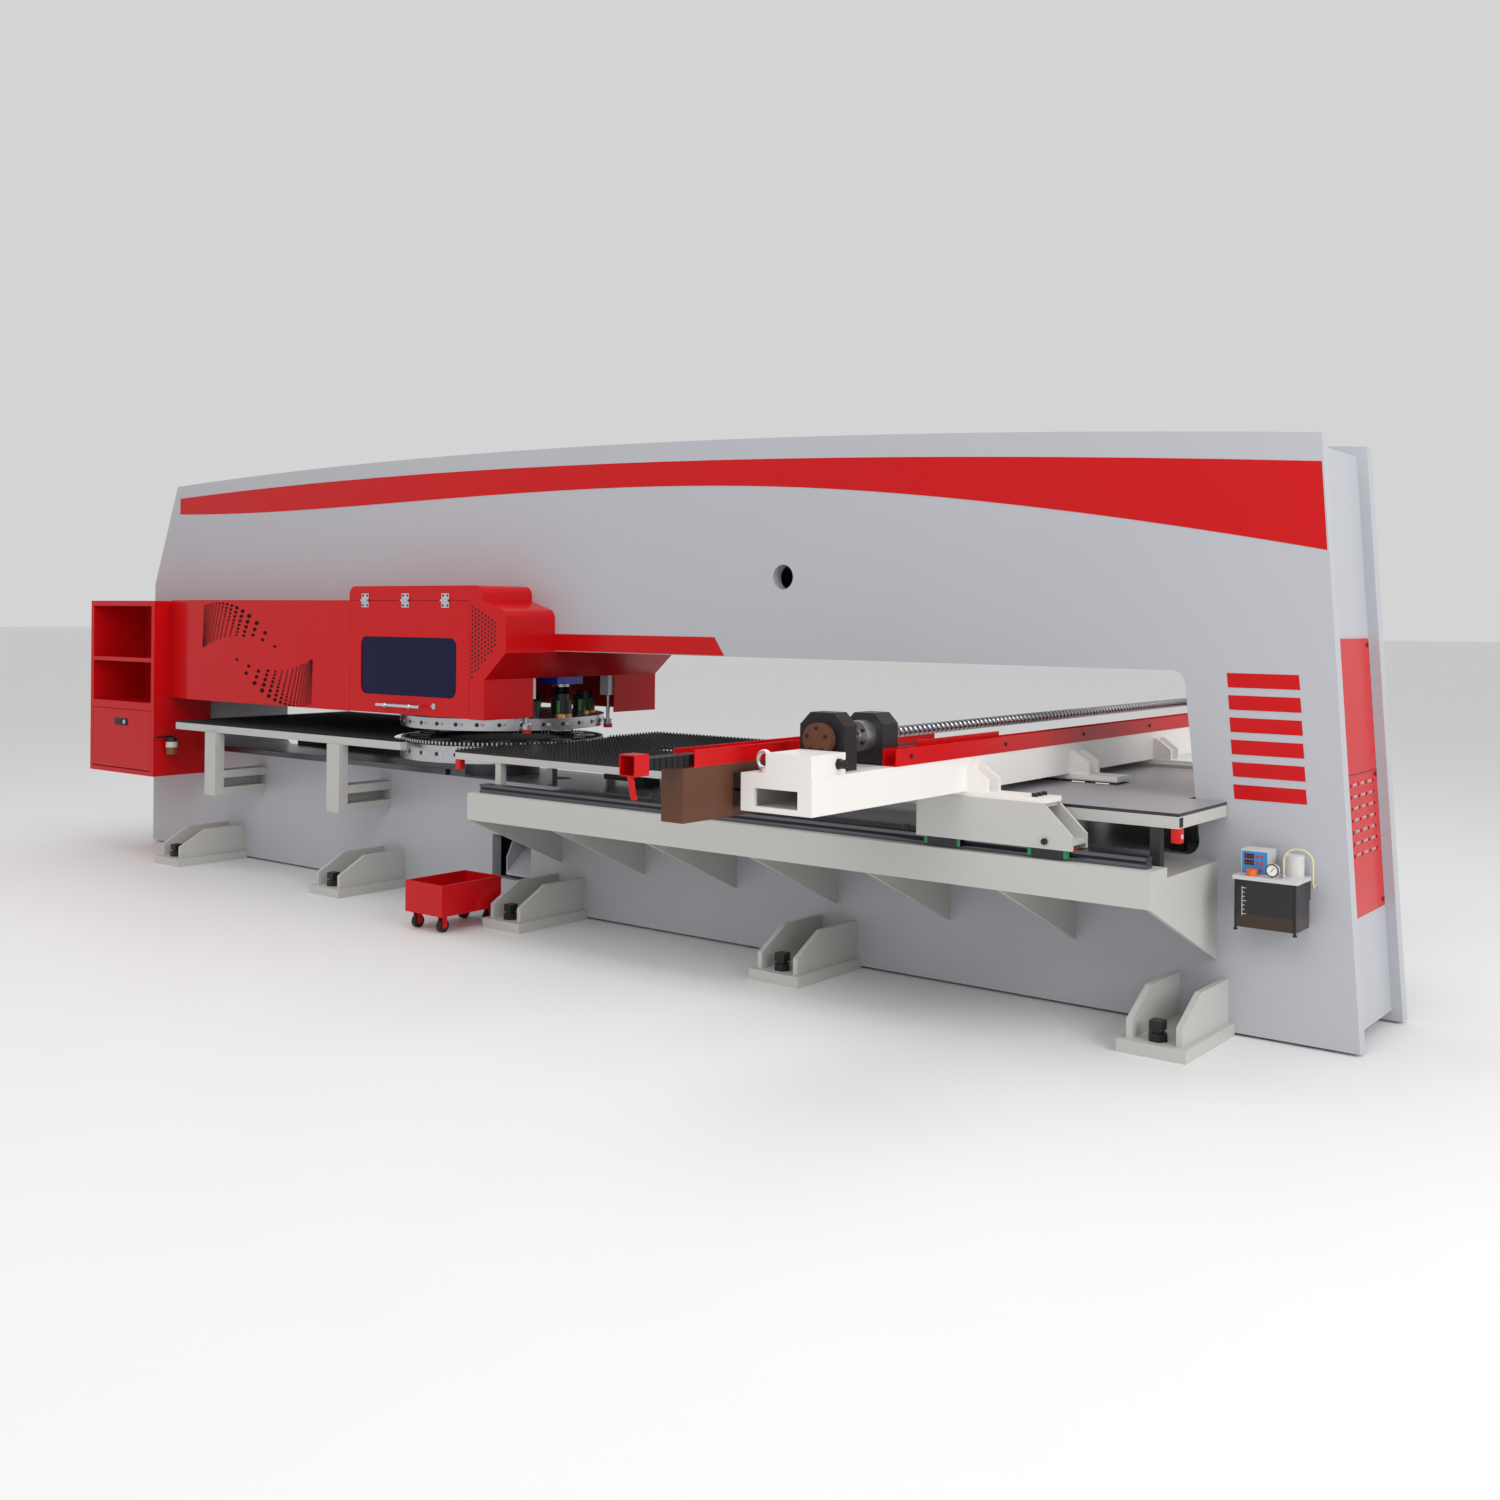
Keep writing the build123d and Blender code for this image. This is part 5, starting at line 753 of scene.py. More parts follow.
def threaded(name, tone, centre, along_x=False):
    """Ground bar with a helical groove round the given axis point, the groove darkened as painted shade.
    """
    material = bare_metal(name, tone, roughness=0.25)
    tree = material.node_tree
    shader = tree.nodes["Principled BSDF"]
    place = tree.nodes.new("ShaderNodeTexCoord")
    shifted = tree.nodes.new("ShaderNodeVectorMath")
    shifted.operation = "SUBTRACT"
    shifted.inputs[1].default_value = centre
    tree.links.new(place.outputs["Object"], shifted.inputs[0])
    vector = shifted.outputs["Vector"]
    if along_x:
        parts = tree.nodes.new("ShaderNodeSeparateXYZ")
        turned = tree.nodes.new("ShaderNodeCombineXYZ")
        tree.links.new(vector, parts.inputs[0])
        for source, target in (("Y", 0), ("X", 1), ("Z", 2)):
            tree.links.new(parts.outputs[source], turned.inputs[target])
        vector = turned.outputs["Vector"]
    thread = use_group(tree, "thread", place=vector, lead=bpy.context.scene.press_bands.thread_lead)
    base = shader.inputs["Base Color"].links[0].from_socket
    # Painted shade: the groove is darkened where shade falls in it.
    dark = mix_node(tree, 1.0, base, (0.32, 0.33, 0.35), "MULTIPLY")
    tree.links.new(mix_node(tree, thread.outputs["Groove"], base, dark), shader.inputs["Base Color"])
    add_bump(tree, shader, thread.outputs["Height"], 0.004)
    return material


def brush_black(name):
    """Black nylon, darker between the tufts as painted shade."""
    c = colours()
    material, tree, shader = start_material(name)
    bristles = use_group(tree, "bristle")
    # The darker tone between the tufts is painted shade.
    tone = mix_node(tree, bristles.outputs["Tuft"], c.brush_gap_shade, c.brush_light)
    tree.links.new(tone, shader.inputs["Base Color"])
    shader.inputs["Roughness"].default_value = 0.5
    add_bump(tree, shader, bristles.outputs["Height"], 0.0008)
    return material


def boxed(material, ranges, tone, metallic=None):
    """Give part of a finish another colour inside ranges along several axes."""
    tree = material.node_tree
    shader = tree.nodes["Principled BSDF"]
    whole = 1.0
    for axis, low, high in ranges:
        mask = use_group(tree, "between", value=object_part(tree, axis), low=low, high=high)
        whole = sum_node(tree, "MULTIPLY", whole, mask.outputs["Mask"])
    recolour(tree, shader, whole, tone, metallic)
    return material


def recolour(tree, shader, mask, tone, metallic=None):
    """Mix a second colour, and a second metallic value, over a finish where the mask is one."""
    base = shader.inputs["Base Color"].links[0].from_socket
    tree.links.new(mix_node(tree, mask, base, tone), shader.inputs["Base Color"])
    if metallic is not None:
        start = shader.inputs["Metallic"].default_value
        change = sum_node(tree, "MULTIPLY", mask, metallic - start)
        tree.links.new(sum_node(tree, "ADD", change, start), shader.inputs["Metallic"])


def sealed_blocks(name):
    """Dark guide blocks whose end seals are green, repeated along the rail."""
    b, c = bpy.context.scene.press_bands, colours()
    material = bare_metal(name, c.block_steel, 0.4)
    tree = material.node_tree
    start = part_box("guide_blocks")[0].x
    along = sum_node(tree, "SUBTRACT", object_part(tree, "X"), start)
    step = sum_node(tree, "FLOORED_MODULO", along, b.block_pitch)
    inside = sum_node(tree, "FLOORED_MODULO", step, b.block_length - b.seal_length)
    mask = sum_node(tree, "LESS_THAN", inside, b.seal_length)
    recolour(tree, tree.nodes["Principled BSDF"], mask, c.seal_green, metallic=0.0)
    return material


def filter_bowl(name):
    """Pale bowl that shows what it has caught, under a black head."""
    b, c = bpy.context.scene.press_bands, colours()
    low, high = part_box("air_filter")
    catch = low.z + (high.z - low.z) * b.catch_share
    bowl = painted(name, c.filter_plastic, 0.15, 0.04)
    bowl = banded(bowl, "Z", low.z - b.overrun, catch, c.filter_catch)
    return banded(bowl, "Z", b.head_low, b.head_high, c.black_plastic)


def slot_materials():
    """One material for each of the record's material slots."""
    c = colours()
    return {
        "frame_paint": painted("frame grey paint", c.frame_paint, 0.34, 0.04),
        "base_paint": painted("base grey paint", c.base_paint, 0.42, 0.06),
        "white_paint": painted("beam white paint", c.white_paint, 0.36, 0.04),
        "red_paint": painted("cover red paint", c.red_paint, 0.24, 0.05, shine=0.26),
        "brown_paint": painted("carriage brown paint", c.brown_paint, 0.42, 0.2, shine=0.3),
        "blue_paint": painted("ram housing blue paint", c.blue_paint, 0.28, 0.05, coat=0.3),
        "table_grey": painted("rest table grey paint", c.table_grey, 0.4, 0.06),
        "dark_steel": bare_metal("dark ground steel", c.dark_steel, 0.34),
        "bright_steel": bare_metal("bright ground steel", c.bright_steel, 0.26),
        "polished_steel": bare_metal("polished steel", c.polished_steel, 0.12, tone_change=0.04),
        "black_steel": painted("blackened steel", c.black_steel, 0.36, 0.15, shine=0.35),
        "cast_iron": painted("cast iron", c.cast_iron, 0.5, 0.18, grain=0.0004),
        "tool_black": painted("black tool steel", c.tool_black, 0.32, 0.15),
        "brass": bare_metal("turned brass", c.brass, 0.3),
        "aluminium": painted("pale anodised aluminium", c.aluminium, 0.24, 0.05),
        "tinted_glass": clear("tinted pane", c.pane, 0.03, share=0.3),
        "brush_black": brush_black("brush field with gap shade"),
        "clear_plastic": filter_bowl("filter plastic"),
        "tank_plastic": painted("smoked tank plastic", c.tank_plastic, 0.16, 0.08, coat=0.4),
        "lid_plastic": painted("pale moulded plastic", c.lid_plastic, 0.4),
        "yellow_plastic": painted("pale hose plastic", c.hose_plastic, 0.25),
        "orange_plastic": painted("orange cap plastic", c.orange_plastic, 0.3),
        "red_plastic": painted("red pad plastic", c.red_plastic, 0.42, shine=0.3),
        "black_plastic": painted("black moulded plastic", c.black_plastic, 0.45, 0.12, shine=0.3),
        "rubber": painted("hard rubber", c.rubber, 0.65, 0.1),
    }


# Mesh helpers

def add_block(bm, low, high):
    """Box between two opposite corners."""
    low, high = Vector(low), Vector(high)
    scale = Matrix.Diagonal((*(high - low), 1.0))
    bmesh.ops.create_cube(bm, size=1.0, matrix=Matrix.Translation((low + high) / 2) @ scale)


def add_round(bm, centre, direction, radius, depth, sides=20, far_radius=None):
    """Round or many-sided disc standing on a point and rising along a direction."""
    turn = Vector((0, 0, 1)).rotation_difference(Vector(direction)).to_matrix().to_4x4()
    place = Matrix.Translation(Vector(centre) + Vector(direction).normalized() * (depth / 2)) @ turn
    bmesh.ops.create_cone(bm, cap_ends=True, segments=sides, radius1=radius,
                          radius2=radius if far_radius is None else far_radius, depth=depth, matrix=place)


def soften(bm, width, segments=2):
    """Round every edge a little."""
    bmesh.ops.bevel(bm, geom=bm.edges[:], offset=width, offset_type="OFFSET", affect="EDGES",
                    segments=segments, profile=0.5, material=-1, clamp_overlap=True)


def node_copy(node):
    """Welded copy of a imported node's mesh."""
    bm = bmesh.new()
    bm.from_mesh(frame["nodes"][node].data)
    bmesh.ops.remove_doubles(bm, verts=bm.verts[:], dist=WELD_DISTANCE)
    return bm


def tool_place(index, centre_x, z):
    """Where a tool stands on the turrets' tool circle, at a height."""
    t = bpy.context.scene.press_turrets
    angle = math.tau * index / t.tool_count
    return Vector((centre_x + t.tool_circle * math.cos(angle), t.tool_circle * math.sin(angle), z))


def screw_ring(axis, y, radius, count, phase):
    """Places of screws round an axis that runs along Y."""
    for index in range(count):
        angle = math.tau * (index + phase) / count
        yield axis.x + radius * math.cos(angle), y, axis.z + radius * math.sin(angle)


def bend_point(points, share):
    """Point at a share of the way along a curve with three control points."""
    first, middle, last = points
    return first * (1 - share) ** 2 + middle * (2 * share * (1 - share)) + last * share ** 2


def finish_piece(name, bm, material, body):
    """Turn a bmesh into a piece that rides a body and wears the given finish."""
    mesh = bpy.data.meshes.new(name)
    bm.to_mesh(mesh)
    bm.free()
    mesh.polygons.foreach_set("use_smooth", [True] * len(mesh.polygons))
    mesh.set_sharp_from_angle(angle=SHARP_ANGLE)
    piece = bpy.data.objects.new(name, mesh)
    bpy.context.scene.collection.objects.link(piece)
    mesh.materials.append(material)
    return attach(piece, body)


def material_named(name):
    """Finish that an earlier step has made."""
    found = bpy.data.materials.get(name)
    if found is None:
        raise RuntimeError(f"the finish {name!r} isn't made yet")
    return found


# Operators

class PRESS_OT_finishes(bpy.types.Operator):
    """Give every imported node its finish"""
    bl_idname = "press.finishes"
    bl_label = "Finishes"

    def execute(self, context):
        make_groups()
        finishes = slot_materials()
        c, b = colours(), context.scene.press_bands
        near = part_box("screw_bearings")[0].y
        finishes["screw_bearings"] = banded(
            painted("screw bearing black", c.black_steel, 0.36, 0.15, shine=0.35),
            "Y", near - b.overrun, near + b.bearing_flange, c.brown_paint)
        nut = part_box("nut_housing")[0].y
        finishes["nut_housing"] = banded(
            painted("nut housing black", c.black_steel, 0.36, 0.15),
            "Y", nut - b.overrun, nut + b.nut_flange, c.flange_steel, metallic=1.0)
        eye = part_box("beam_fittings")[0].x
        finishes["beam_fittings"] = banded(
            painted("beam fitting white", c.white_paint, 0.36),
            "X", eye - b.overrun, eye + b.eye_width, c.eye_steel, metallic=1.0)
        low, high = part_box("rest_table")
        finishes["rest_table"] = banded(
            painted("edged rest table grey", c.table_grey, 0.34, 0.06),
            "Z", low.z - b.overrun, high.z - b.table_skin, c.table_edge)
        low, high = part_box("table_frames")
        finishes["table_frames"] = boxed(
            painted("table frame grey", c.base_paint, 0.42, 0.06),
            [("X", high.x - b.post_reach, high.x + b.overrun), ("Z", low.z - b.overrun, b.post_top)],
            c.post_dark)
        finishes["guide_blocks"] = sealed_blocks("sealed guide blocks")
        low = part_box("saddles")[0]
        finishes["saddles"] = banded(
            painted("seat white paint", c.white_paint, 0.36, 0.04),
            "Z", low.z - b.overrun, b.saddle_seam, c.base_paint)
        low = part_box("lube_tank")[0]
        finishes["lube_tank"] = banded(
            painted("smoked tank plastic with oil", c.oil_tank, 0.14, 0.08, shine=0.4),
            "Z", low.z - b.overrun, low.z + b.oil_level, c.oil)
        for node, along_x in (("ball_screw", False), ("feed_screw", True)):
            low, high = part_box(node)
            finishes[node] = threaded(f"{node} thread", c.screw_steel, (low + high) / 2, along_x)
        for node, piece in frame["nodes"].items():
            piece.data.materials.clear()
            piece.data.materials.append(finishes.get(node, finishes[SLOTS[node]]))
        return {"FINISHED"}


class PRESS_OT_turret_sockets(bpy.types.Operator):
    """Add the dark sockets and pale tags round both turret rims"""
    bl_idname = "press.turret_sockets"
    bl_label = "Turret sockets"

    def execute(self, context):
        t = context.scene.press_turrets
        self.rim("upper_turret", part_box("punch_holders")[0].z - t.upper_disc / 2)
        self.rim("lower_turret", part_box("lower_turret")[1].z - t.lower_disc / 2)
        return {"FINISHED"}

    def rim(self, body, z):
        """Add the sockets and tags round one disc, at a height."""
        t = bpy.context.scene.press_turrets
        low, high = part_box(body)
        centre = (low + high) / 2
        middle = Vector((centre.x, centre.y, z))
        radius = (high.x - low.x) / 2
        tag = Matrix.Diagonal((t.socket_depth * 2, t.socket_radius * t.tag_width_share,
                               t.socket_radius * t.tag_height_share, 1.0))
        sockets, tags = bmesh.new(), bmesh.new()
        for index in range(t.socket_count):
            angle = math.tau * (index + t.socket_phase_share) / t.socket_count
            out = Vector((math.cos(angle), math.sin(angle), 0))
            side = Vector((-out.y, out.x, 0))
            add_round(sockets, middle + out * (radius - t.socket_depth), out, t.socket_radius,
                      t.socket_depth * 2, sides=14)
            place = middle + out * radius + side * t.socket_radius * t.tag_offset_share
            turn = Matrix.Translation(place) @ Matrix.Rotation(angle, 4, "Z")
            bmesh.ops.create_cube(tags, size=1.0, matrix=turn @ tag)
        finish_piece(f"{body}_sockets", sockets, material_named("black tool steel"), body)
        finish_piece(f"{body}_tags", tags, material_named("pale moulded plastic"), body)


class PRESS_OT_tool_strips(bpy.types.Operator):
    """Add the upright green strips on the punch holders"""
    bl_idname = "press.tool_strips"
    bl_label = "Tool strips"

    def execute(self, context):
        t = context.scene.press_turrets
        low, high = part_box("upper_turret")
        centre = (low + high) / 2
        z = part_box("tool_rings")[1].z + t.strip_lift + t.strip_height / 2
        size = Matrix.Diagonal((t.strip_depth, t.strip_width, t.strip_height, 1.0))
        strips = bmesh.new()
        for index in range(t.tool_count):
            angle = math.tau * index / t.tool_count
            radius = t.small_tool_radius if index % 2 else t.tool_radius
            for strip in range(t.strip_count):
                way = angle + math.tau * (strip + 0.5) / t.strip_count
                out = Vector((math.cos(way), math.sin(way), 0))
                place = Matrix.Translation(tool_place(index, centre.x, z) + out * radius)
                turn = Matrix.Rotation(way, 4, "Z")
                bmesh.ops.create_cube(strips, size=1.0, matrix=place @ turn @ size)
        green = painted("tool strip green", colours().tool_band, 0.4)
        finish_piece("tool_strips", strips, green, "upper_turret")
        return {"FINISHED"}


class PRESS_OT_brush_tables(bpy.types.Operator):
    """Make the brush tables as boards with a grid of tufts, and the brush on the lower turret"""
    bl_idname = "press.brush_tables"
    bl_label = "Brush tables"

    def execute(self, context):
        s = context.scene.press_brushes
        black = material_named("brush field with gap shade")
        # The tufts' nylon is lightened, partly as painted light on them.
        nylon = painted("brush tuft nylon with painted light", colours().tuft_nylon_and_painted_light, 0.5, 0.4, shine=0.2)
        low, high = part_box("brush_tables")
        whole = node_copy("brush_tables")
        surface = BVHTree.FromBMesh(whole)
        cut = bmesh.ops.bisect_plane(
            whole, geom=whole.verts[:] + whole.edges[:] + whole.faces[:], dist=CUT_DISTANCE,
            plane_co=(0, 0, high.z - s.tuft_height), plane_no=UP, clear_outer=True)
        rim = [item for item in cut["geom_cut"] if isinstance(item, bmesh.types.BMEdge)]
        bmesh.ops.edgeloop_fill(whole, edges=rim)
        bmesh.ops.recalc_face_normals(whole, faces=whole.faces[:])
        boards = finish_piece("brush_boards", whole, black, "machine")
        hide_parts("brush_tables")
        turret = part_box("upper_turret")
        split = (turret[0].x + turret[1].x) / 2 + s.split_offset
        for name, x0, x1 in (("left_brush_tufts", low.x, split), ("right_brush_tufts", split, high.x)):
            self.tufts(name, surface, (x0, x1), (low.y, high.y), high.z, nylon)
        self.turret_brushes((turret[0] + turret[1]) / 2, black, nylon)
        return {"FINISHED"}

    def tuft(self, bm, place, height):
        """Add one tuft, which widens towards its tip."""
        s = bpy.context.scene.press_brushes
        add_round(bm, place, UP, s.tuft_foot, height, sides=5, far_radius=s.tuft_head)

    def tufts(self, name, surface, across, along, top, finish):
        """Stand a square grid of tufts wherever the table's top is whole under it."""
        s = bpy.context.scene.press_brushes
        field = bmesh.new()
        rows = int((along[1] - along[0]) / s.row_pitch)
        columns = int((across[1] - across[0]) / s.tuft_pitch)
        for row in range(rows):
            y = along[0] + (row + 0.5) * s.row_pitch
            line = bmesh.new()
            for column in range(columns):
                x = across[0] + (column + 0.5) * s.tuft_pitch
                if self.whole_under(surface, x, y, top):
                    self.tuft(line, (x, y, top - s.tuft_height), s.tuft_height)
            part = bpy.data.meshes.new("tuft row")
            line.to_mesh(part)
            line.free()
            field.from_mesh(part)
            bpy.data.meshes.remove(part)
        finish_piece(name, field, finish, "machine")

    def whole_under(self, surface, x, y, top):
        """Tell whether the table's top lies under a tuft's four sides."""
        s = bpy.context.scene.press_brushes
        reach = s.tuft_head * s.tuft_margin_share
        for dx, dy in ((-reach, 0), (reach, 0), (0, -reach), (0, reach)):
            start = Vector((x + dx, y + dy, top + s.probe_height))
            hit = surface.ray_cast(start, Vector(DOWN))[0]
            if hit is None or hit.z < top - s.probe_slack:
                return False
        return True

    def turret_brushes(self, centre, black, nylon):
        """Add the brush rings on the lower turret, between its dies, with pale tips along the rim."""
        s = bpy.context.scene.press_brushes
        dies_low, dies_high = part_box("dies")
        foot, height = dies_low.z, dies_high.z - dies_low.z
        board, tufts, tips = bmesh.new(), bmesh.new(), bmesh.new()
        for ring in range(s.turret_rings):
            radius = s.rim_brush - ring * s.row_pitch
            around = int(math.tau * radius / s.tuft_pitch)
            for index in range(around):
                angle = math.tau * (index + 0.5 * (ring % 2)) / around
                place = Vector((centre.x + radius * math.cos(angle), radius * math.sin(angle), foot))
                if ring == 0:
                    add_round(tips, place, UP, s.tip_radius, height, sides=8)
                elif self.clear_of_dies(place, centre.x):
                    self.tuft(tufts, place, height)
        add_round(board, (centre.x, centre.y, foot), UP, s.board_radius, s.board_skin, sides=96)
        pale = material_named("pale moulded plastic")
        finish_piece("turret_brush_board", board, black, "lower_turret")
        finish_piece("turret_brush_tufts", tufts, nylon, "lower_turret")
        finish_piece("turret_brush_tips", tips, pale, "lower_turret")

    def clear_of_dies(self, place, centre_x):
        """Tell whether a tuft stands clear of every die."""
        s, t = bpy.context.scene.press_brushes, bpy.context.scene.press_turrets
        for index in range(t.tool_count):
            radius = t.small_die_radius if index % 2 else t.die_radius
            die = tool_place(index, centre_x, place.z)
            if (die - place).length < radius + s.tuft_head * s.die_margin_share:
                return False
        return True


class PRESS_OT_trim_sheets(bpy.types.Operator):
    """Make the red strips, bands and stripes, with the stripes' ends eased to the frame's lean"""
    bl_idname = "press.trim_sheets"
    bl_label = "Trim sheets"

    def execute(self, context):
        s = context.scene.press_panels
        trim = node_copy("red_trim")
        for row in range(s.stripe_count):
            low = s.stripe_low + row * s.stripe_pitch
            foot = [vert for vert in trim.verts
                    if abs(vert.co.z - low) < s.stripe_slack and vert.co.x > s.stripe_left]
            if not foot:
                raise RuntimeError("a stripe isn't where it was")
            bmesh.ops.translate(trim, verts=foot, vec=(-s.stripe_ease, 0.0, 0.0))
        red = material_named("cover red paint")
        piece = finish_piece("trim_sheets", trim, red, "machine")
        piece.data.shade_flat()
        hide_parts("red_trim")
        return {"FINISHED"}


class PRESS_OT_vent_panels(bpy.types.Operator):
    """Make the side panels as whole sheets with two fans of fine vent dots, one turned half round; the
    dots are painted shadow of the vent holes
    """
    bl_idname = "press.vent_panels"
    bl_label = "Vent panels"

    def execute(self, context):
        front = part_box("side_panels")[0].y
        self.sheets(front)
        self.dots(front)
        return {"FINISHED"}

    def sheets(self, front):
        """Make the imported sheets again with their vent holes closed."""
        sheet = node_copy("side_panels")
        walls = [face for face in sheet.faces if self.is_wall(face, front)]
        if not walls:
            raise RuntimeError("the side panel has no vent holes")
        bmesh.ops.delete(sheet, geom=walls, context="FACES")
        rims = [edge for edge in sheet.edges if edge.is_boundary]
        bmesh.ops.holes_fill(sheet, edges=rims, sides=0)
        bmesh.ops.recalc_face_normals(sheet, faces=sheet.faces[:])
        red = material_named("cover red paint")
        panels = finish_piece("panel_sheets", sheet, red, "machine")
        panels.data.shade_flat()
        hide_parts("side_panels")

    def is_wall(self, face, front):
        """Tell whether a face is the wall of a vent hole in the front sheet."""
        s = bpy.context.scene.press_panels
        centre = face.calc_center_median()
        across = s.hole_left < centre.x < s.hole_right
        up = s.hole_low < centre.z < s.hole_high
        deep = front - s.wall_before < centre.y < front + s.wall_behind
        return across and up and deep and abs(face.normal.y) < s.wall_slope

    def dots(self, front):
        """Add both fans of dots, painted shadow of the vent holes, to the front sheet."""
        s = bpy.context.scene.press_panels
        middle = Vector(s.fan_middle)
        turn = Matrix.Rotation(math.radians(90), 4, "X")
        dots = bmesh.new()
        for dot, width, height in self.fan():
            stretch = Matrix.Diagonal((width, s.dot_skin, height, 1.0))
            for place in (dot, middle * 2 - dot):
                move = Matrix.Translation((place.x, front - s.dot_skin / 2, place.y))
                bmesh.ops.create_cone(dots, cap_ends=True, segments=8, radius1=1.0, radius2=1.0,
                                      depth=1.0, matrix=move @ stretch @ turn)
        bmesh.ops.recalc_face_normals(dots, faces=dots.faces[:])
        shade = painted("vent shadow", colours().vent_shadow, 0.7, 0.1, shine=0.1)
        finish_piece("vent_shadow_dots", dots, shade, "machine")

    def fan(self):
        """Place, half width and half height of each dot of one fan, from its crowded end to its tip."""
        s = bpy.context.scene.press_panels
        outer = [Vector(point) for point in (s.outer_start, s.outer_bend, s.outer_tip)]
        inner = [Vector(point) for point in (s.inner_start, s.inner_bend, s.inner_tip)]
        reach = (outer[1] - outer[0]).length + (outer[2] - outer[1]).length
        whole = s.fan_growth ** (s.fan_columns - 1) - 1
        dots = []
        for column in range(s.fan_columns):
            share = (s.fan_growth ** column - 1) / whole
            gap = s.fan_growth ** column * (s.fan_growth - 1) / whole * reach
            start, end = bend_point(outer, share), bend_point(inner, share ** s.fan_lean)
            run = (end - start).length
            fade = 1 - s.tip_fade * max(0.0, share - s.full_share)
            step = max(gap * s.row_share, s.row_least)
            place = 0.0
            while place < run:
                height = step * s.dot_share * fade
                width = min(height * s.dot_stretch, gap / s.gap_parts)
                dots.append((start.lerp(end, place / run), width, height))
                place += step
                step = max(step * s.row_fade, s.row_least)
        return dots


class PRESS_OT_flap_latch(bpy.types.Operator):
    """Add the cabinet flap's black latch and its bright lock"""
    bl_idname = "press.flap_latch"
    bl_label = "Flap latch"

    def execute(self, context):
        s = context.scene.press_panels
        low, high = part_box("cabinet_flap")
        x, z = (low.x + high.x) / 2, s.latch_middle
        across, up = s.latch_width / 2, s.latch_height / 2
        plate, lock = bmesh.new(), bmesh.new()
        add_block(plate, (x - across, low.y - s.latch_proud, z - up),
                  (x + across, low.y + s.latch_depth, z + up))
        soften(plate, s.latch_proud / 2)
        black = material_named("black moulded plastic")
        finish_piece("flap_latch", plate, black, "flap")
        centre = (x + s.latch_width / 4, low.y - s.latch_proud / 2, z)
        add_round(lock, centre, FRONT, s.latch_height / 3, s.latch_proud)
        finish_piece("flap_lock", lock, material_named("polished steel"), "flap")
        return {"FINISHED"}


class PRESS_OT_cover_screws(bpy.types.Operator):
    """Add the louvred end cover's screws and joint, and the screws of the door hinges"""
    bl_idname = "press.cover_screws"
    bl_label = "Cover screws"

    def execute(self, context):
        heads = bmesh.new()
        self.end_cover(heads)
        self.hinges(heads)
        return {"FINISHED"}

    def end_cover(self, heads):
        """Put screws on the leaning end cover, and a dark line at its joint."""
        k = bpy.context.scene.press_covers
        low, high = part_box("end_cover")
        height = high.z - low.z
        lean = (high.x - low.x - k.sheet) / height
        out = Vector((1, 0, lean)).normalized()
        for y in (low.y + k.screw_inset, high.y - k.screw_inset):
            for share in k.screw_shares:
                rise = height * share
                place = (high.x - rise * lean - k.head_sink, y, low.z + rise)
                add_round(heads, place, out, k.screw_head, k.head_height, sides=16)
        rise = height * k.seam_share
        place = Matrix.Translation((high.x - rise * lean, (low.y + high.y) / 2, low.z + rise))
        turn = Matrix.Rotation(-math.atan(lean), 4, "Y")
        size = Matrix.Diagonal((k.seam_depth, high.y - low.y, k.seam_height, 1.0))
        joint = bmesh.new()
        bmesh.ops.create_cube(joint, size=1.0, matrix=place @ turn @ size)
        black = material_named("black moulded plastic")
        finish_piece("cover_joint", joint, black, "machine")

    def hinges(self, heads):
        """Put two screws on each hinge's fixed leaf and two on its door leaf."""
        k = bpy.context.scene.press_covers
        low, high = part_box("hood_hinges")
        door_low, door_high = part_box("hood_door")
        half = k.hinge_width / 2
        door_heads = bmesh.new()
        for x in (low.x + half, (low.x + high.x) / 2 + k.hinge_offset, high.x - half):
            for side in (-1, 1):
                across = x + side * k.hinge_width * k.hinge_screw_share
                for bm, z in ((heads, door_high.z + k.hinge_screw_above),
                              (door_heads, door_high.z - k.hinge_screw_below)):
                    add_round(bm, (across, door_low.y - k.hinge_leaf, z), FRONT,
                              k.hinge_screw_radius, k.hinge_screw_height, sides=12)
        steel = material_named("blackened steel")
        finish_piece("cover_screws", heads, steel, "machine")
        finish_piece("door_hinge_screws", door_heads, steel, "door")


class PRESS_OT_hood_holes(bpy.types.Operator):
    """Add the vent holes in the fixed strip beside the hood's door as black discs, painted shade for the
    holes
    """
    bl_idname = "press.hood_holes"
    bl_label = "Hood holes"

    def execute(self, context):
        k = context.scene.press_covers
        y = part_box("hoods")[0].y + k.hole_sink
        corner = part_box("hood_door")[1]
        start = corner.z - k.hole_drop
        holes = bmesh.new()
        for column in range(k.hole_columns):
            share = column / (k.hole_columns - 1)
            x = corner.x + k.hole_inset + column * k.hole_pitch * k.hole_spread_share
            top = start - k.hole_fall * share
            bottom = corner.z - k.hole_reach + k.hole_rise * share
            for row in range(k.hole_rows):
                z = start - (row + 0.5 * (column % 2)) * k.hole_pitch
                if bottom < z < top + k.hole_slack:
                    # Each hole is a black disc: painted shade where the hole opens.
                    add_round(holes, (x, y, z), FRONT, k.hole_radius, k.hole_skin, sides=10)
        black = material_named("black moulded plastic")
        finish_piece("hood_holes", holes, black, "machine")
        return {"FINISHED"}


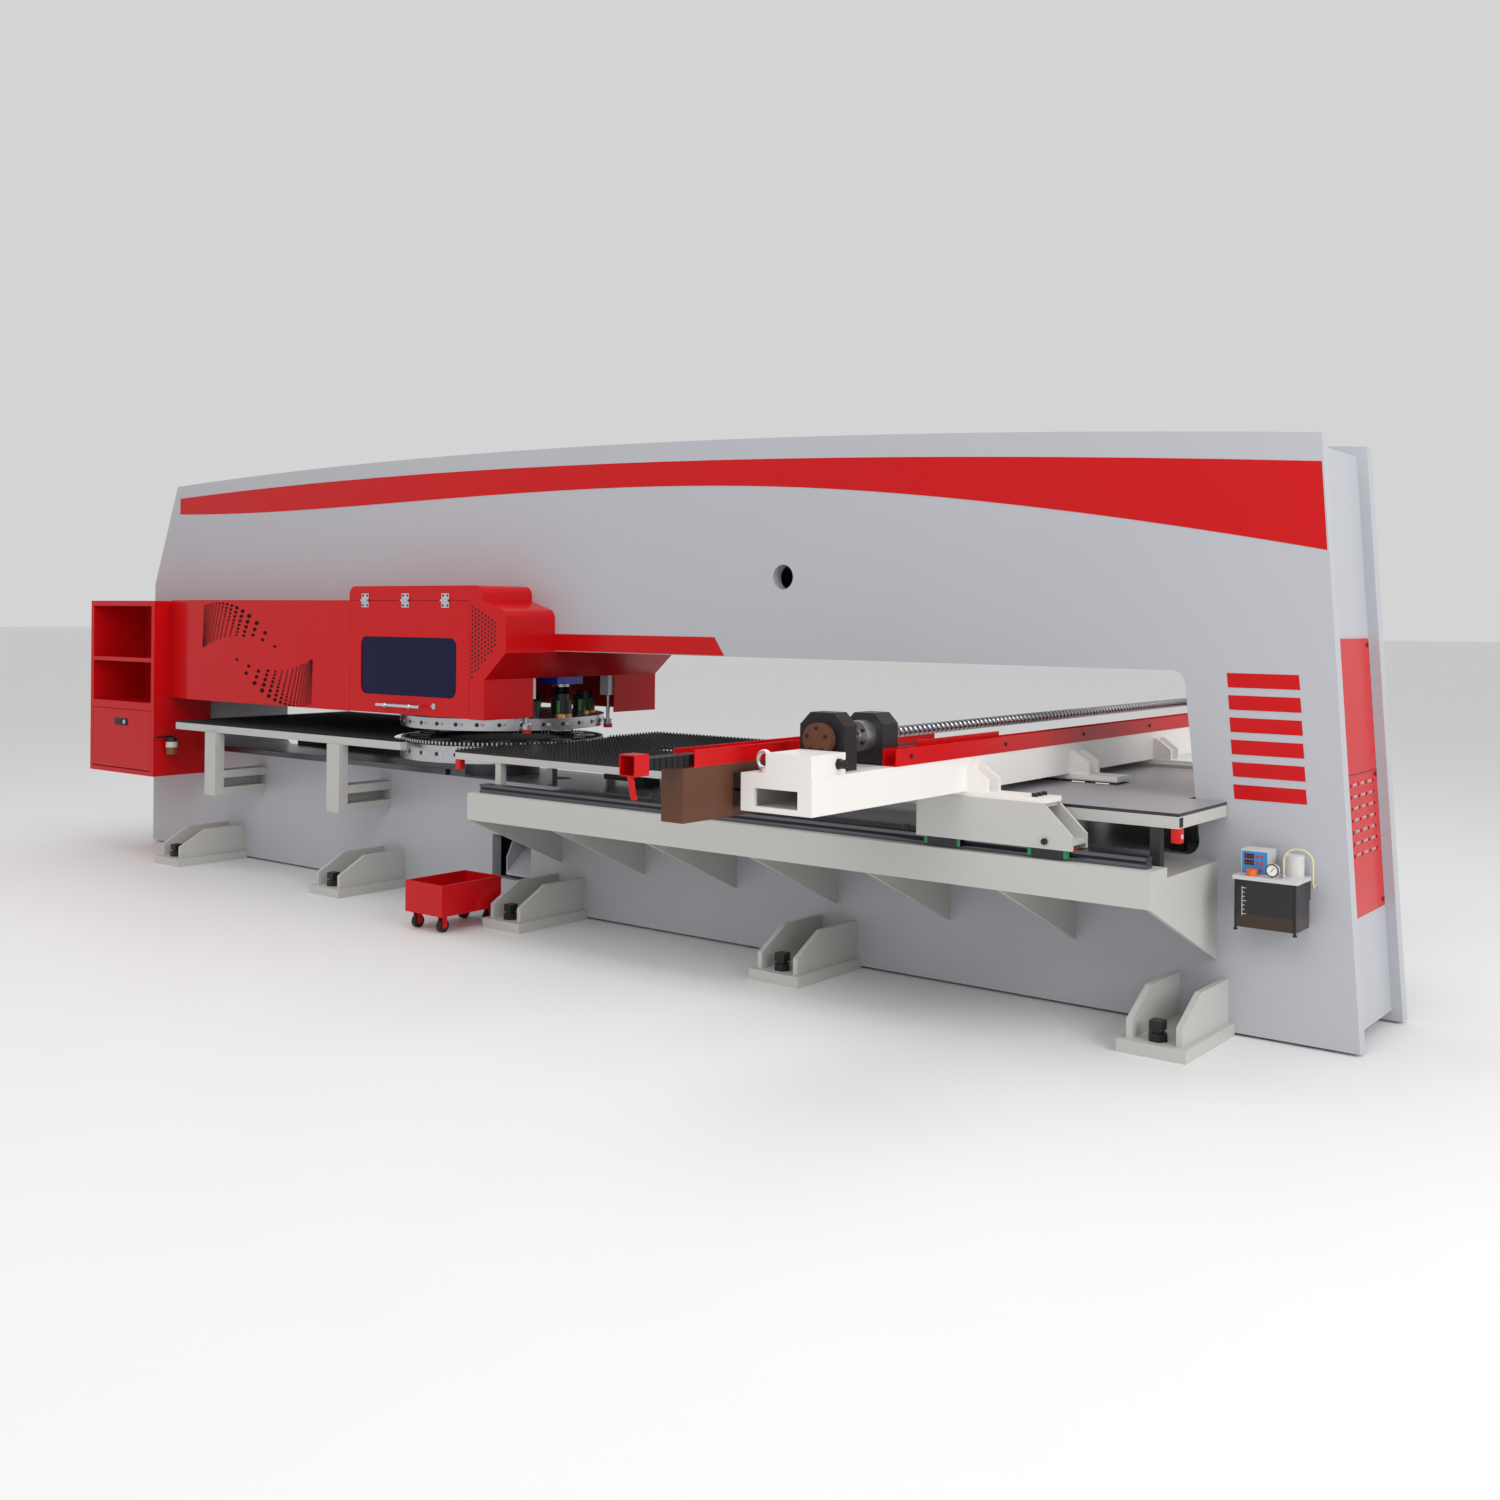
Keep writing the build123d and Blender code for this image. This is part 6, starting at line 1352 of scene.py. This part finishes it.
class PRESS_OT_door_collars(bpy.types.Operator):
    """Add the collars and end caps of the door's handle"""
    bl_idname = "press.door_collars"
    bl_label = "Door collars"

    def execute(self, context):
        k = context.scene.press_covers
        collars = bmesh.new()
        y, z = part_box("door_fittings")[0].y + k.handle_radius, k.handle_height
        left, right = k.handle_left, k.handle_right
        for x in (left + k.handle_inset, right - k.handle_inset):
            add_round(collars, (x - k.collar_width / 2, y, z), RIGHT,
                      k.handle_radius + k.collar_wall, k.collar_width, sides=24)
        for x, way in ((left, LEFT), (right, RIGHT)):
            add_round(collars, (x, y, z), way, k.handle_radius, k.handle_cap, sides=24,
                      far_radius=k.handle_radius * k.handle_cap_share)
        soften(collars, k.collar_edge)
        bright = material_named("polished steel")
        finish_piece("handle_collars", collars, bright, "door")
        return {"FINISHED"}


class PRESS_OT_tube_ends(bpy.types.Operator):
    """Add the open ends of the table tubes as dark plates, painted shade inside the tubes, and the red
    stops under them
    """
    bl_idname = "press.tube_ends"
    bl_label = "Tube ends"

    def execute(self, context):
        t = context.scene.press_tables
        ends, stops, plugs = bmesh.new(), bmesh.new(), bmesh.new()
        low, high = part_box("rest_table")
        wall, z = t.tube * t.tube_wall_share, t.tube_low
        for sides in ((low.y, low.y + t.tube), (high.y - t.tube, high.y)):
            for x, way, top in ((high.x, 1, low.z), (t.brush_left, -1, low.z - t.brush_drop)):
                face = x + way * t.stop_proud
                # Dark plate within the tube's walls: painted shade in the open end.
                self.slab(ends, sides, wall, (x, x + way * t.end_skin), (z + wall, top - wall))
                self.slab(stops, sides, t.stop_inset, (x - way * t.stop_reach, face),
                          (z - t.stop_height, z))
                self.slab(plugs, sides, t.plug_inset, (face, face + way * t.end_skin),
                          (z - t.plug_low, z - t.plug_high))
        soften(stops, t.stop_edge)
        finish_piece("tube_ends", ends, material_named("black moulded plastic"), "machine")
        finish_piece("table_stops", stops, material_named("red pad plastic"), "machine")
        finish_piece("stop_plugs", plugs, material_named("pale moulded plastic"), "machine")
        return {"FINISHED"}

    def slab(self, bm, sides, inset, along, up):
        """Add a box set in from a tube's two sides, between two places along it and two heights."""
        near, far = sorted(along)
        add_block(bm, (near, sides[0] + inset, up[0]), (far, sides[1] - inset, up[1]))


class PRESS_OT_beam_fasteners(bpy.types.Operator):
    """Add the screws of the beam's seats, saddles, tray, bearing and nut, and the guide blocks' caps"""
    bl_idname = "press.beam_fasteners"
    bl_label = "Beam fasteners"

    def execute(self, context):
        b = context.scene.press_beam
        black = material_named("blackened steel")
        screw_low, screw_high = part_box("ball_screw")
        axis = (screw_low + screw_high) / 2
        bolts, caps = bmesh.new(), bmesh.new()
        for side in (-1, 1):
            self.saddle(bolts, caps, side)
        self.tray_and_bearing(bolts, axis)
        finish_piece("beam_bolts", bolts, black, "beam")
        soften(caps, b.cap_edge)
        finish_piece("guide_block_caps", caps, material_named("red pad plastic"), "beam")
        self.carriage_screws(axis, black)
        self.box_connector(black)
        return {"FINISHED"}

    def saddle(self, bolts, caps, side):
        """Add one saddle's seat screws, side screws and guide block caps."""
        b = bpy.context.scene.press_beam
        low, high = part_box("saddles")
        block_low, block_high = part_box("guide_blocks")
        seat_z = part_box("cross_beam")[0].z
        outer = side * high.y
        middle = outer - side * b.saddle_width / 2
        for step in (-1, 0, 1):
            self.socket_screw(bolts, (b.seat_bolt_x, middle + step * b.seat_pitch, seat_z), UP)
        for x in (low.x + b.saddle_left, high.x - b.saddle_right):
            self.socket_screw(bolts, (x, outer, low.z + b.saddle_height), (0, side, 0))
        for end in (block_low.x + bpy.context.scene.press_bands.block_length, block_high.x):
            add_block(caps, (end, middle - b.cap_width / 2, block_low.z + b.cap_lift),
                      (end + b.cap_length, middle + b.cap_width / 2, block_high.z - b.cap_drop))

    def socket_screw(self, bm, place, way):
        """Add a round head with a thin six-sided plate for its socket."""
        b = bpy.context.scene.press_beam
        radius = b.bolt_head
        height = radius * b.bolt_height_share
        add_round(bm, place, way, radius, height, sides=18)
        add_round(bm, Vector(place) + Vector(way) * height, way, radius * b.bolt_socket_share,
                  radius * b.bolt_skin_share, sides=6)

    def tray_and_bearing(self, bolts, axis):
        """Add the screws along the beam's tray and round the screw bearing."""
        b, k = bpy.context.scene.press_beam, bpy.context.scene.press_covers
        low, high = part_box("beam_tray")
        for share in b.tray_shares:
            place = (high.x, low.y + (high.y - low.y) * share, low.z + b.tray_height)
            add_round(bolts, place, RIGHT, k.screw_head * b.tray_head_share, k.head_height, sides=14)
        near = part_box("screw_bearings")[0].y
        ring = screw_ring(axis, near, b.bearing_circle, b.bearing_screws, b.bearing_phase_share)
        for place in ring:
            add_round(bolts, place, FRONT, b.bearing_head, k.head_height, sides=12)

    def carriage_screws(self, axis, black):
        """Add the screws on the cable duct's face and round the ball nut's flange."""
        b, k = bpy.context.scene.press_beam, bpy.context.scene.press_covers
        heads = bmesh.new()
        low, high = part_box("cable_duct")
        for index in range(b.duct_screws):
            y = low.y + b.duct_start + index * b.duct_pitch
            add_round(heads, (high.x, y, low.z + b.duct_height), RIGHT, k.screw_head, k.head_height,
                      sides=14)
        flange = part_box("nut_housing")[0].y
        for place in screw_ring(axis, flange, b.nut_circle, b.nut_screws, b.nut_phase_share):
            add_round(heads, place, FRONT, b.nut_head, b.nut_height, sides=12)
        finish_piece("carriage_screws", heads, black, "carriage")

    def box_connector(self, black):
        """Add the round plug on the junction box's right-hand face."""
        b = bpy.context.scene.press_beam
        low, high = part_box("beam_fittings")
        place = Vector((high.x, low.y + b.plug_along, low.z + b.plug_up))
        plug = bmesh.new()
        for radius, depth, sides, far_radius in (
                (b.plug_nut, b.plug_nut_depth, 6, b.plug_nut),
                (b.plug_radius, b.plug_length, 24, b.plug_radius),
                (b.gland_radius, b.gland_length, 24, b.gland_tip)):
            add_round(plug, place, RIGHT, radius, depth, sides=sides, far_radius=far_radius)
            place = place + Vector((depth, 0, 0))
        finish_piece("box_connector", plug, black, "beam")


class PRESS_OT_lubricator_faces(bpy.types.Operator):
    """Add the controller's face, displays and keys, the gauge's dial and the tank's rods and scale"""
    bl_idname = "press.lubricator_faces"
    bl_label = "Lubricator faces"

    def execute(self, context):
        u = context.scene.press_lubricator
        low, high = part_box("lube_tank")
        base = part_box("lube_cap")[0].z
        left = low.x + u.control_inset
        self.controller(left, low.y + u.control_back, base)
        self.gauge(left + u.control_width + u.gauge_gap, low.y + u.gauge_back, base + u.gauge_up)
        self.tank_parts(low, high, base)
        return {"FINISHED"}

    def controller(self, left, front, base):
        """Add the blue face, two windows with lit strokes, and the keys."""
        c, u = colours(), bpy.context.scene.press_lubricator
        right, top = left + u.control_width, base + u.control_height
        plate, windows, lit, keys = bmesh.new(), bmesh.new(), bmesh.new(), bmesh.new()
        add_block(plate, (left + u.face_margin, front - u.face_rise, base + u.face_margin),
                  (right - u.face_margin, front + u.face_sink, top - u.face_top_margin))
        for drop in u.window_drops:
            z = top - drop
            add_block(windows, (left + u.window_left, front - u.window_rise, z - u.window_height),
                      (left + u.window_right, front - u.window_back, z))
            for digit in range(u.digit_count):
                x = left + u.digit_left + digit * u.digit_pitch
                add_block(lit, (x, front - u.digit_rise, z - u.digit_foot),
                          (x + u.digit_width, front - u.digit_back, z - u.digit_head))
        grid = [(x, drop) for drop in u.key_drops for x in u.key_places]
        for x, drop in (*grid, u.last_key):
            add_round(keys, (left + x, front - u.key_foot, top - drop), FRONT, u.key_radius,
                      u.key_depth, sides=16)
        blue = painted("controller face blue", c.control_face, 0.3)
        finish_piece("controller_face", plate, blue, "machine")
        dark = painted("display window", c.display_window, 0.12)
        finish_piece("controller_windows", windows, dark, "machine")
        red = painted("display red", c.display_red, 0.3)
        finish_piece("controller_segments", lit, red, "machine")
        finish_piece("controller_keys", keys, red, "machine")

    def gauge(self, x, front, z):
        """Add the pressure gauge's dark rim, pale dial, hand and marks."""
        u = bpy.context.scene.press_lubricator
        rim, dial, hand = bmesh.new(), bmesh.new(), bmesh.new()
        add_round(rim, (x, front, z), FRONT, u.rim_radius, u.rim_depth, sides=36)
        add_round(dial, (x, front - u.rim_depth, z), FRONT, u.dial_radius, u.dial_skin, sides=36)
        self.bar(hand, (x, front - u.hand_rise, z), u.hand_turn, u.hand_shift, u.hand_size)
        for index in range(u.mark_count):
            angle = u.mark_start + index * u.mark_step
            self.bar(hand, (x, front - u.mark_rise, z), angle, u.mark_radius, u.mark_size)
        black = material_named("blackened steel")
        finish_piece("gauge_rim", rim, black, "machine")
        finish_piece("gauge_dial", dial, material_named("beam white paint"), "machine")
        finish_piece("gauge_hand", hand, black, "machine")

    def bar(self, bm, place, angle, shift, size):
        """Add a thin bar on the dial, turned about the axis and moved outwards."""
        turn = Matrix.Translation(place) @ Matrix.Rotation(angle, 4, "Y")
        out = Matrix.Translation((0, 0, shift)) @ Matrix.Diagonal((*size, 1.0))
        bmesh.ops.create_cube(bm, size=1.0, matrix=turn @ out)

    def tank_parts(self, low, high, lid_top):
        """Add the tie rods at the tank's corners, its level scale, and the fitting on the lid."""
        u = bpy.context.scene.press_lubricator
        rods, scale, fittings = bmesh.new(), bmesh.new(), bmesh.new()
        y, foot = low.y + u.rod_sink, low.z - u.rod_drop
        for x in (low.x + u.rod_inset, high.x - u.rod_inset):
            add_round(rods, (x, y, foot), UP, u.rod_radius, high.z - foot, sides=12)
            add_round(rods, (x, y, foot - u.rod_nut_height), UP, u.rod_nut, u.rod_nut_height, sides=6)
        front, back = low.y - u.scale_rise, low.y + u.scale_sink
        left = low.x + u.scale_left
        for index in range(u.scale_marks):
            z = low.z + u.scale_start + index * u.scale_pitch
            span = u.scale_short if index % u.scale_every else u.scale_long
            add_block(scale, (left, front, z), (left + span, back, z + u.scale_line))
        add_block(scale, (low.x + u.bar_sides[0], front, low.z + u.bar_ends[0]),
                  (low.x + u.bar_sides[1], back, low.z + u.bar_ends[1]))
        x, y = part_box("lube_hose")[0].x + u.fitting_inset, low.y + u.fitting_back
        add_round(fittings, (x, y, lid_top), UP, u.fitting_nut, u.fitting_nut_height, sides=6)
        add_round(fittings, (x, y, lid_top + u.fitting_nut_height), UP, u.fitting_neck,
                  u.fitting_neck_height, sides=20, far_radius=u.fitting_tip)
        finish_piece("tank_rods", rods, material_named("blackened steel"), "machine")
        finish_piece("tank_scale", scale, material_named("beam white paint"), "machine")
        finish_piece("lid_fittings", fittings, material_named("polished steel"), "machine")


class PRESS_OT_stage(bpy.types.Operator):
    """Set the floor, the soft lights and the camera"""
    bl_idname = "press.stage"
    bl_label = "Stage"

    def execute(self, context):
        scene = context.scene
        stage = scene.press_stage
        self.floor(scene, stage)
        for name, power, place, target, size in (
                ("key_light", stage.key_power, stage.key_place, stage.key_target, stage.key_size),
                ("fill_light", stage.fill_power, stage.fill_place, stage.fill_target, stage.fill_size),
                ("top_light", stage.top_power, stage.top_place, stage.top_target, stage.top_size)):
            lamp = bpy.data.lights.new(name, "AREA")
            lamp.energy = power
            lamp.size = size
            light = bpy.data.objects.new(name, lamp)
            light.location = place
            way = Vector(target) - Vector(place)
            light.rotation_euler = way.to_track_quat("-Z", "Y").to_euler()
            scene.collection.objects.link(light)
        world = bpy.data.worlds.new("studio room")
        world.use_nodes = True
        back = world.node_tree.nodes["Background"]
        back.inputs["Color"].default_value = (1.0, 1.0, 1.0, 1.0)
        back.inputs["Strength"].default_value = stage.world_light
        scene.world = world
        scene.view_settings.view_transform = "Standard"
        camera = bpy.data.objects.new("camera", bpy.data.cameras.new("camera"))
        camera.location = stage.camera_place
        camera.rotation_euler = stage.camera_turn
        camera.data.sensor_width = stage.sensor
        camera.data.lens = stage.lens
        camera.data.shift_y = stage.shift
        camera.data.clip_end = stage.view_range
        scene.collection.objects.link(camera)
        scene.camera = camera
        return {"FINISHED"}

    def floor(self, scene, stage):
        """Lay the plain floor just under the press."""
        mesh = bpy.data.meshes.new("studio_floor")
        bm = bmesh.new()
        bmesh.ops.create_grid(bm, x_segments=1, y_segments=1, size=stage.floor_size / 2)
        bm.to_mesh(mesh)
        bm.free()
        floor = bpy.data.objects.new("studio_floor", mesh)
        floor.location.z = CAD_LOW.z - stage.floor_drop
        mesh.materials.append(painted("studio floor", colours().floor, 0.55, 0.02, grain=0.0))
        scene.collection.objects.link(floor)


STEPS = (
    PRESS_OT_finishes, PRESS_OT_turret_sockets, PRESS_OT_tool_strips, PRESS_OT_brush_tables,
    PRESS_OT_trim_sheets, PRESS_OT_vent_panels, PRESS_OT_flap_latch, PRESS_OT_cover_screws,
    PRESS_OT_hood_holes, PRESS_OT_door_collars, PRESS_OT_tube_ends, PRESS_OT_beam_fasteners,
    PRESS_OT_lubricator_faces, PRESS_OT_stage)


class PRESS_PT_build(bpy.types.Panel):
    """Steps that dress the press, in order"""
    bl_idname = "PRESS_PT_build"
    bl_label = "Turret punch press"
    bl_space_type = "VIEW_3D"
    bl_region_type = "UI"
    bl_category = "Press"

    def draw(self, context):
        for step in STEPS:
            self.layout.operator(step.bl_idname)


CLASSES = (*SETTINGS.values(), *STEPS, PRESS_PT_build)


def register():
    for cls in CLASSES:
        bpy.utils.register_class(cls)
    for name, group in SETTINGS.items():
        setattr(bpy.types.Scene, name, bpy.props.PointerProperty(type=group))


def unregister():
    for name in SETTINGS:
        delattr(bpy.types.Scene, name)
    for cls in reversed(CLASSES):
        bpy.utils.unregister_class(cls)


def main():
    """Register the add-on and run its steps in order."""
    register()
    bpy.ops.press.finishes()
    bpy.ops.press.turret_sockets()
    bpy.ops.press.tool_strips()
    bpy.ops.press.brush_tables()
    bpy.ops.press.trim_sheets()
    bpy.ops.press.vent_panels()
    bpy.ops.press.flap_latch()
    bpy.ops.press.cover_screws()
    bpy.ops.press.hood_holes()
    bpy.ops.press.door_collars()
    bpy.ops.press.tube_ends()
    bpy.ops.press.beam_fasteners()
    bpy.ops.press.lubricator_faces()
    bpy.ops.press.stage()


if __name__ == "__main__":
    main()
